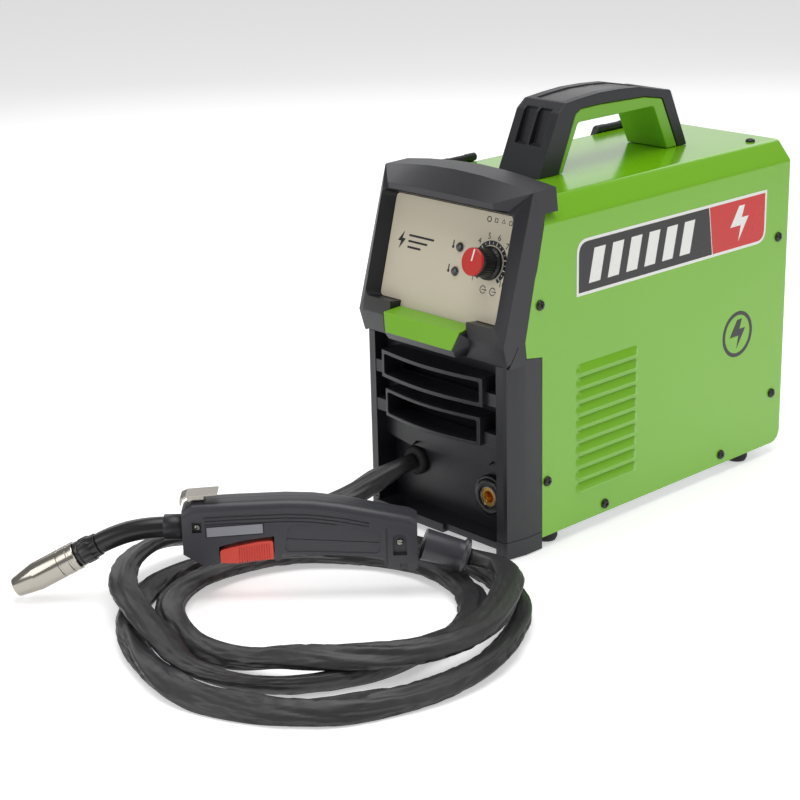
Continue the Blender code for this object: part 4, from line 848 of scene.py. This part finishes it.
def curve_through(marks, count):
    marks = [Vector(m) for m in marks]
    marks = [2 * marks[0] - marks[1]] + marks + [2 * marks[-1] - marks[-2]]
    out = []
    for a, b, c, d in zip(marks, marks[1:], marks[2:], marks[3:]):
        for step in range(count):
            t = step / count
            out.append(0.5 * (2 * b + (c - a) * t + (2 * a - 5 * b + 4 * c - d) * t * t
                              + (3 * b - a - 3 * c + d) * t ** 3))
    out.append(marks[-2])
    return out


neck_marks = [(-0.0681, 0.0, 0.0476), (-0.0600, 0.0, 0.0515), (-0.0510, 0.0, 0.0550), (-0.0410, 0.0, 0.0578),
              (-0.0290, 0.0, 0.0596), (-0.0150, 0.0, 0.0603), (-0.0004, 0.0, 0.0603)]
neck = place("swan_neck_fine", sweep(curve_through(neck_marks, 6), 0.0086), TORCH, SMOOTH_BLACK)
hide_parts("swan_neck")
sleeve = lathe([(0.0092, 0.0), (0.0100, 0.0), (0.0104, -0.0006), (0.0104, -0.0144), (0.0100, -0.0150),
                (0.0092, -0.0150)], 48, "x")
sleeve = place("neck_sleeve_fine", sleeve, TORCH @ Matrix.Translation((-0.0004, 0.0, 0.0603)), PLASTIC)
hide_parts("neck_sleeve")
TAIL = TORCH @ Matrix.Translation((0.1908, 0.0, 0.0405)) @ Matrix.Rotation(math.radians(108), 4, "Y")
tail_line = [(0.0, 0.0365), (0.0136, 0.0365), (0.0144, 0.0357), (0.0144, 0.0340), (0.0138, 0.0332),
             (0.0122, 0.0326), (0.0116, 0.0316), (0.0118, 0.0270), (0.0130, 0.0010), (0.0128, 0.0), (0.0,
                                                                                                     0.0)]
tail = place("torch_tail_sleeve", lathe(tail_line, 56), TAIL, TORCH_PLASTIC)
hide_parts("torch_rear_sleeve")
hook_line = fillet([(0.0290, 0.0896), (0.0288, 0.0910), (0.0040, 0.0896), (-0.0012, 0.0872), (-0.0014,
                                                                                              0.0815),
                    (-0.0002, 0.0815), (0.0004, 0.0858), (0.0045, 0.0880)], 0.0010, 4)
hook = place("hang_hook_strap", prism(hook_line, "y", -0.0085, 0.0085), TORCH, NICKEL, eased=0.0003)
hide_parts("hang_hook")
place("hook_foot", prism([(0.0045, 0.0826), (0.0180, 0.0834), (0.0180, 0.0890), (0.0045, 0.0884)], "y",
                         -0.0040,
                         0.0040), TORCH, NICKEL, eased=0.0006)

# ==== panel socket and cable gland =============================================================
# The socket is a brass bush in a thick black collar; the gland is a soft ring around the cable.
SOCKET = CASE @ Matrix.Translation((0.0480, -0.0195, 0.0440)) @ Matrix.Rotation(math.pi / 2, 4, "X")
socket_line = [(0.0095, 0.0068), (0.0102, 0.0078), (0.0140, 0.0078), (0.0152, 0.0070), (0.0160, 0.0050),
               (0.0176, 0.0046), (0.0184, 0.0034), (0.0184, 0.0004), (0.0150, 0.0004), (0.0150, -0.0190),
               (0.0095, -0.0190)]
socket = place("socket_collar", lathe(socket_line, 56), SOCKET, SMOOTH_BLACK)
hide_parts("socket_body")
brass_line = [(0.0046, 0.0052), (0.0052, 0.0060), (0.0084, 0.0060), (0.0091, 0.0052), (0.0091, -0.0180),
              (0.0046, -0.0180)]
bush = place("socket_bush", lathe(brass_line, 48), SOCKET, BRASS)
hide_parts("socket_insert")
place("socket_rim", lathe([(0.0080, 0.0062), (0.0084, 0.0067), (0.0091, 0.0067), (0.0094, 0.0060),
                           (0.0092, 0.0052), (0.0080, 0.0056)], 48), SOCKET, NICKEL)
GLAND = CASE @ Matrix.Translation((-0.0440, -0.0195, 0.0525)) @ Matrix.Rotation(math.pi / 2, 4, "X")
gland_line = [(0.0050, 0.0062), (0.0100, 0.0065), (0.0118, 0.0060), (0.0130, 0.0044), (0.0132, 0.0020),
              (0.0128, 0.0004), (0.0095, 0.0004), (0.0095, -0.0060), (0.0050, -0.0060)]
gland = place("gland_ring", lathe(gland_line, 48), GLAND, RUBBER)
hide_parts("cable_gland")

# ==== front bezel with its hood ================================================================
# One black moulding: a hood over the control plate, broad spark-textured cheeks and a chin.
# Built from tight convex solids, then the plate's recess and the case's edge are cut out.
CHEEK = surface("textured_plastic", srgb(58, 57, 57), 0.62, grain=55.0, bump=0.75, depth=0.0005, tint=0.30,
                spread=0.08, specular=0.35)


def solid(points):
    """The tight convex solid around some points and their mirror images."""
    work = bmesh.new()
    for x, y, z in points:
        work.verts.new((x, y, z))
        if x != 0.0:
            work.verts.new((-x, y, z))
    made = bmesh.ops.convex_hull(work, input=work.verts)
    spare = [v for v in made["geom_interior"] if isinstance(v, bmesh.types.BMVert)]
    bmesh.ops.delete(work, geom=spare, context="VERTS")
    return work


face_body = solid([(0.0773, -0.0231, 0.2911), (0.0773, -0.0470, 0.2018), (0.0790, -0.0476, 0.1885),
                   (0.0862, -0.0110, 0.3080), (0.0862, -0.0458, 0.1875), (0.0850, -0.0413, 0.1697),
                   (0.0862, 0.0140, 0.3085), (0.0862, 0.0140, 0.2890), (0.0862, -0.0150, 0.1731),
                   (0.0862, -0.0400, 0.1720)])
hood = solid([(0.0864, -0.0100, 0.3085), (0.0600, -0.0116, 0.3122), (0.0300, -0.0128, 0.3150),
              (0.0, -0.0132, 0.3160), (0.0864, 0.0155, 0.3090), (0.0600, 0.0160, 0.3122),
              (0.0300, 0.0163, 0.3146), (0.0, 0.0165, 0.3156), (0.0864, 0.0180, 0.2890),
              (0.0864, -0.0050, 0.2895), (0.0615, -0.0313, 0.2995), (0.0300, -0.0327, 0.3003),
              (0.0, -0.0331, 0.3006), (0.0612, -0.0306, 0.2945), (0.0300, -0.0320, 0.2950),
              (0.0, -0.0325, 0.2952), (0.0660, -0.0200, 0.2935)])
lip_block = solid([(0.0455, -0.0330, 0.1940), (0.0470, -0.0543, 0.1930), (0.0412, -0.0583, 0.1786),
                   (0.0400, -0.0545, 0.1722), (0.0400, -0.0400, 0.1700), (0.0500, -0.0400, 0.1830)])
bezel_work = carve(face_body, [hood, lip_block], "UNION")
bezel_work.transform(CASE)
recess_outline = fillet([(-0.0773, -0.0462), (0.0773, -0.0462), (0.0773, 0.0462), (-0.0773, 0.0462)],
                        0.0075, 6)
plate_hole = fillet([(-0.0713, -0.0447), (0.0713, -0.0447), (0.0713, 0.0447), (-0.0713, 0.0447)], 0.0050, 6)
mouth = bmesh.new()
for outline_points, depth in ((recess_outline, -0.0200), (recess_outline, 0.0), (plate_hole, 0.0138)):
    for x, z in outline_points:
        mouth.verts.new((x, depth, z))
bmesh.ops.convex_hull(mouth, input=mouth.verts)
mouth.transform(PANEL)
hollow = box((-0.0660, 0.0131, -0.0390), (0.0660, 0.0600, 0.0390))
hollow.transform(PANEL)
case_line = [(0.0032, 0.2890), (-0.0064, 0.2447), (-0.0092, 0.2370), (-0.0206, 0.1863), (-0.0189, 0.1731),
             (-0.0189, 0.1500), (0.1000, 0.1500), (0.1000, 0.2890)]
case_cut = prism(case_line, "x", -0.1, 0.1)
case_cut.transform(CASE)
over_case = prism([(0.0864, 0.2000), (0.0864, 0.2812), (0.0719, 0.2984), (-0.0719, 0.2984), (-0.0864, 0.2812),
                   (-0.0864, 0.2000)], "y", 0.0030, 0.0600)
over_case.transform(CASE)
notch = box((-0.0452, -0.0700, 0.1925), (0.0452, -0.0345, 0.2110))
notch.transform(CASE)
for cutter in (mouth, notch, hollow, case_cut, over_case):
    bezel_work = carve(bezel_work, [cutter])
bezel = place("front_bezel_hooded", bezel_work, Matrix.Identity(4), PLASTIC, eased=0.0012, segments=3)
bezel.data.materials.append(CHEEK)
for polygon in bezel.data.polygons:
    centre = CASE.inverted() @ polygon.center
    if polygon.normal.dot(Vector((0.0, -0.966, 0.259))) > 0.97 and centre.z < 0.2925 and centre.y < -0.0200:
        polygon.material_index = 1
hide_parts("front_bezel")

badge_work = solid([(0.0439, -0.0372, 0.1964), (0.0454, -0.0549, 0.1947), (0.0396, -0.0590, 0.1788),
                    (0.0380, -0.0480, 0.1780), (0.0400, -0.0372, 0.1900)])
badge = place("badge_face", badge_work, CASE, GREEN_PLASTIC, eased=0.0008, segments=3)
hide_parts("badge")

# ==== front surround ===========================================================================
# Two faceted pillars with shoes, a stepped ledge over the recess and a lip at the bottom.
pillars = []
for mark in (1, -1):
    plan = [(mark * 0.0860, -0.0006), (mark * 0.0860, -0.0200), (mark * 0.0825, -0.0388),
            (mark * 0.0800, -0.0404), (mark * 0.0726, -0.0410), (mark * 0.0726, -0.0006)]
    pillars.append(prism(plan, "z", 0.0152, 0.1690))
    shoe = [(mark * 0.0864, -0.0006), (mark * 0.0864, -0.0202), (mark * 0.0829, -0.0393),
            (mark * 0.0802, -0.0409), (mark * 0.0722, -0.0415), (mark * 0.0722, -0.0006)]
    pillars.append(prism(shoe, "z", 0.0006, 0.0154))
    peak = [(-0.0400, 0.1680), (-0.0285, 0.1845), (-0.0200, 0.1722), (-0.0200, 0.1680)]
    pillars.append(prism(peak, "x", *sorted((mark * 0.0838, mark * 0.0865))))
    step = [(-0.0006, 0.1680), (-0.0006, 0.1694), (-0.0188, 0.1723), (-0.0210, 0.1723), (-0.0210, 0.1680)]
    pillars.append(prism(step, "x", *sorted((mark * 0.0800, mark * 0.0860))))
ledge_line = [(-0.0740, 0.0960), (-0.0740, 0.0745), (-0.0410, 0.0690), (-0.0350, 0.0750), (-0.0200, 0.0778),
              (0.0070, 0.0787), (0.0125, 0.0738), (0.0520, 0.0742), (0.0575, 0.0800), (0.0740, 0.0800),
              (0.0740, 0.0960)]
pillars.append(prism(ledge_line, "y", -0.0300, -0.0236))
pillars.append(box((-0.0740, -0.0262, 0.0760), (0.0740, -0.0234, 0.0990)))
pillars.append(box((-0.0740, -0.0262, 0.1190), (0.0740, -0.0234, 0.1350)))
pillars.append(box((-0.0740, -0.0262, 0.1530), (0.0740, -0.0234, 0.1690)))
for side in (-1, 1):
    pillars.append(box((min(side * 0.0540, side * 0.0740), -0.0262, 0.0900),
                       (max(side * 0.0540, side * 0.0740), -0.0234, 0.1600)))
pillars.append(box((-0.0740, -0.0430, 0.0056), (0.0100, -0.0060, 0.0134)))
pillars.append(box((0.0080, -0.0400, 0.0075), (0.0740, -0.0060, 0.0134)))
pillars.append(box((-0.0740, -0.0236, 0.0670), (0.0740, -0.0205, 0.0930)))
pillars.append(box((-0.0735, -0.0130, 0.0880), (0.0735, -0.0115, 0.1660)))
surround_work = carve(pillars[0], pillars[1:], "UNION")
surround = place("front_surround_fine", surround_work, CASE, PLASTIC, eased=0.0009, segments=3)
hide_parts("front_surround")

# ==== small signs on the plate and black sleeves on the door hinges ============================
# Plain outline signs stand in for the printed marks; the hinge sleeves are black mouldings.
for number, x in enumerate((0.0400, 0.0480, 0.0560, 0.0640)):
    sides = (20, 4, 3, 4)[number]
    turn_by = (0.0, 45.0, 90.0, 45.0)[number]
    outer_ring = [(0.0025 * math.cos(math.radians(turn_by + 360 * i / sides)),
                   0.0025 * math.sin(math.radians(turn_by + 360 * i / sides))) for i in range(sides)]
    rim = on_plate(outer_ring, x, 0.0385)
    hole = on_plate([(a * 0.68, b * 0.68) for a, b in outer_ring], x, 0.0385, 0.0010)
    place(f"plate_sign_{number}", carve(rim, [moved(hole, (0.0, 0.0005, 0.0))]), PANEL, PRINT)
bolt = [(0.0022, 0.0080), (-0.0046, -0.0012), (-0.0006, -0.0012), (-0.0022, -0.0080), (0.0046, 0.0014),
        (0.0006, 0.0014)]
place("plate_bolt", on_plate(bolt, -0.0560, 0.0060), PANEL, PRINT)
for number, (first, last, z) in enumerate(((-0.0480, -0.0180, 0.0110), (-0.0480, -0.0250, 0.0060),
                                           (-0.0480, -0.0320, 0.0010))):
    bar = fillet([(first, -0.0009), (last, -0.0009), (last, 0.0009), (first, 0.0009)], 0.0008, 4)
    place(f"plate_bar_{number}", on_plate(bar, 0.0, z), PANEL, PRINT)
for number, start in enumerate((0.0400, 0.0725, 0.2445, 0.2770)):
    cap = lathe([(0.0, 0.0116), (0.0030, 0.0116), (0.0036, 0.0110), (0.0036, 0.0004), (0.0030, -0.0001),
                 (0.0, -0.0001)], 32, "y")
    place(f"hinge_sleeve_{number}", cap, CASE @ Matrix.Translation((-0.0735, start, 0.3013)), PLASTIC,
          body="left_door")
    web = [(-0.0735, 0.3047), (-0.0770, 0.3030), (-0.0822, 0.2903), (-0.0800, 0.2893), (-0.0735, 0.2975)]
    place(f"hinge_web_{number}", prism(web, "y", start - 0.0002, start + 0.0117), CASE, PLASTIC,
          body="left_door", eased=0.0004)

# ==== fan guard on the rear panel ==============================================================
# Four bent nickel wire rings on a cross of two wires, over the fan's opening in the rear panel.
# Each ring is one closed torus of wire and each cross wire one straight rod.
for number, radius in enumerate((0.0090, 0.0180, 0.0270, 0.0355)):
    ring = bmesh.new()
    rows = []
    for step in range(64):
        turn = math.tau * step / 64
        out = Vector((math.cos(turn), 0.0, math.sin(turn)))
        rows.append([ring.verts.new(out * (radius + 0.0009 * math.cos(math.tau * k / 10))
                                    + Vector((0.0, 0.0009 * math.sin(math.tau * k / 10),
                                              0.0))) for k in range(10)])
    for one, two in zip(rows, rows[1:] + rows[:1]):
        for k in range(10):
            ring.faces.new((one[k], one[(k + 1) % 10], two[(k + 1) % 10], two[k]))
    place(f"fan_guard_ring_{number}", ring, CASE @ Matrix.Translation((0.0340, 0.3290, 0.1650)), NICKEL)
for number, turn in enumerate((45, 135)):
    work = bmesh.new()
    bmesh.ops.create_cone(work, cap_ends=True, segments=12, radius1=0.0011, radius2=0.0011, depth=0.092)
    work.transform(Matrix.Rotation(math.radians(90 - turn), 4, "Y"))
    place(f"fan_guard_wire_{number}", work, CASE @ Matrix.Translation((0.0340, 0.3278, 0.1650)), NICKEL)
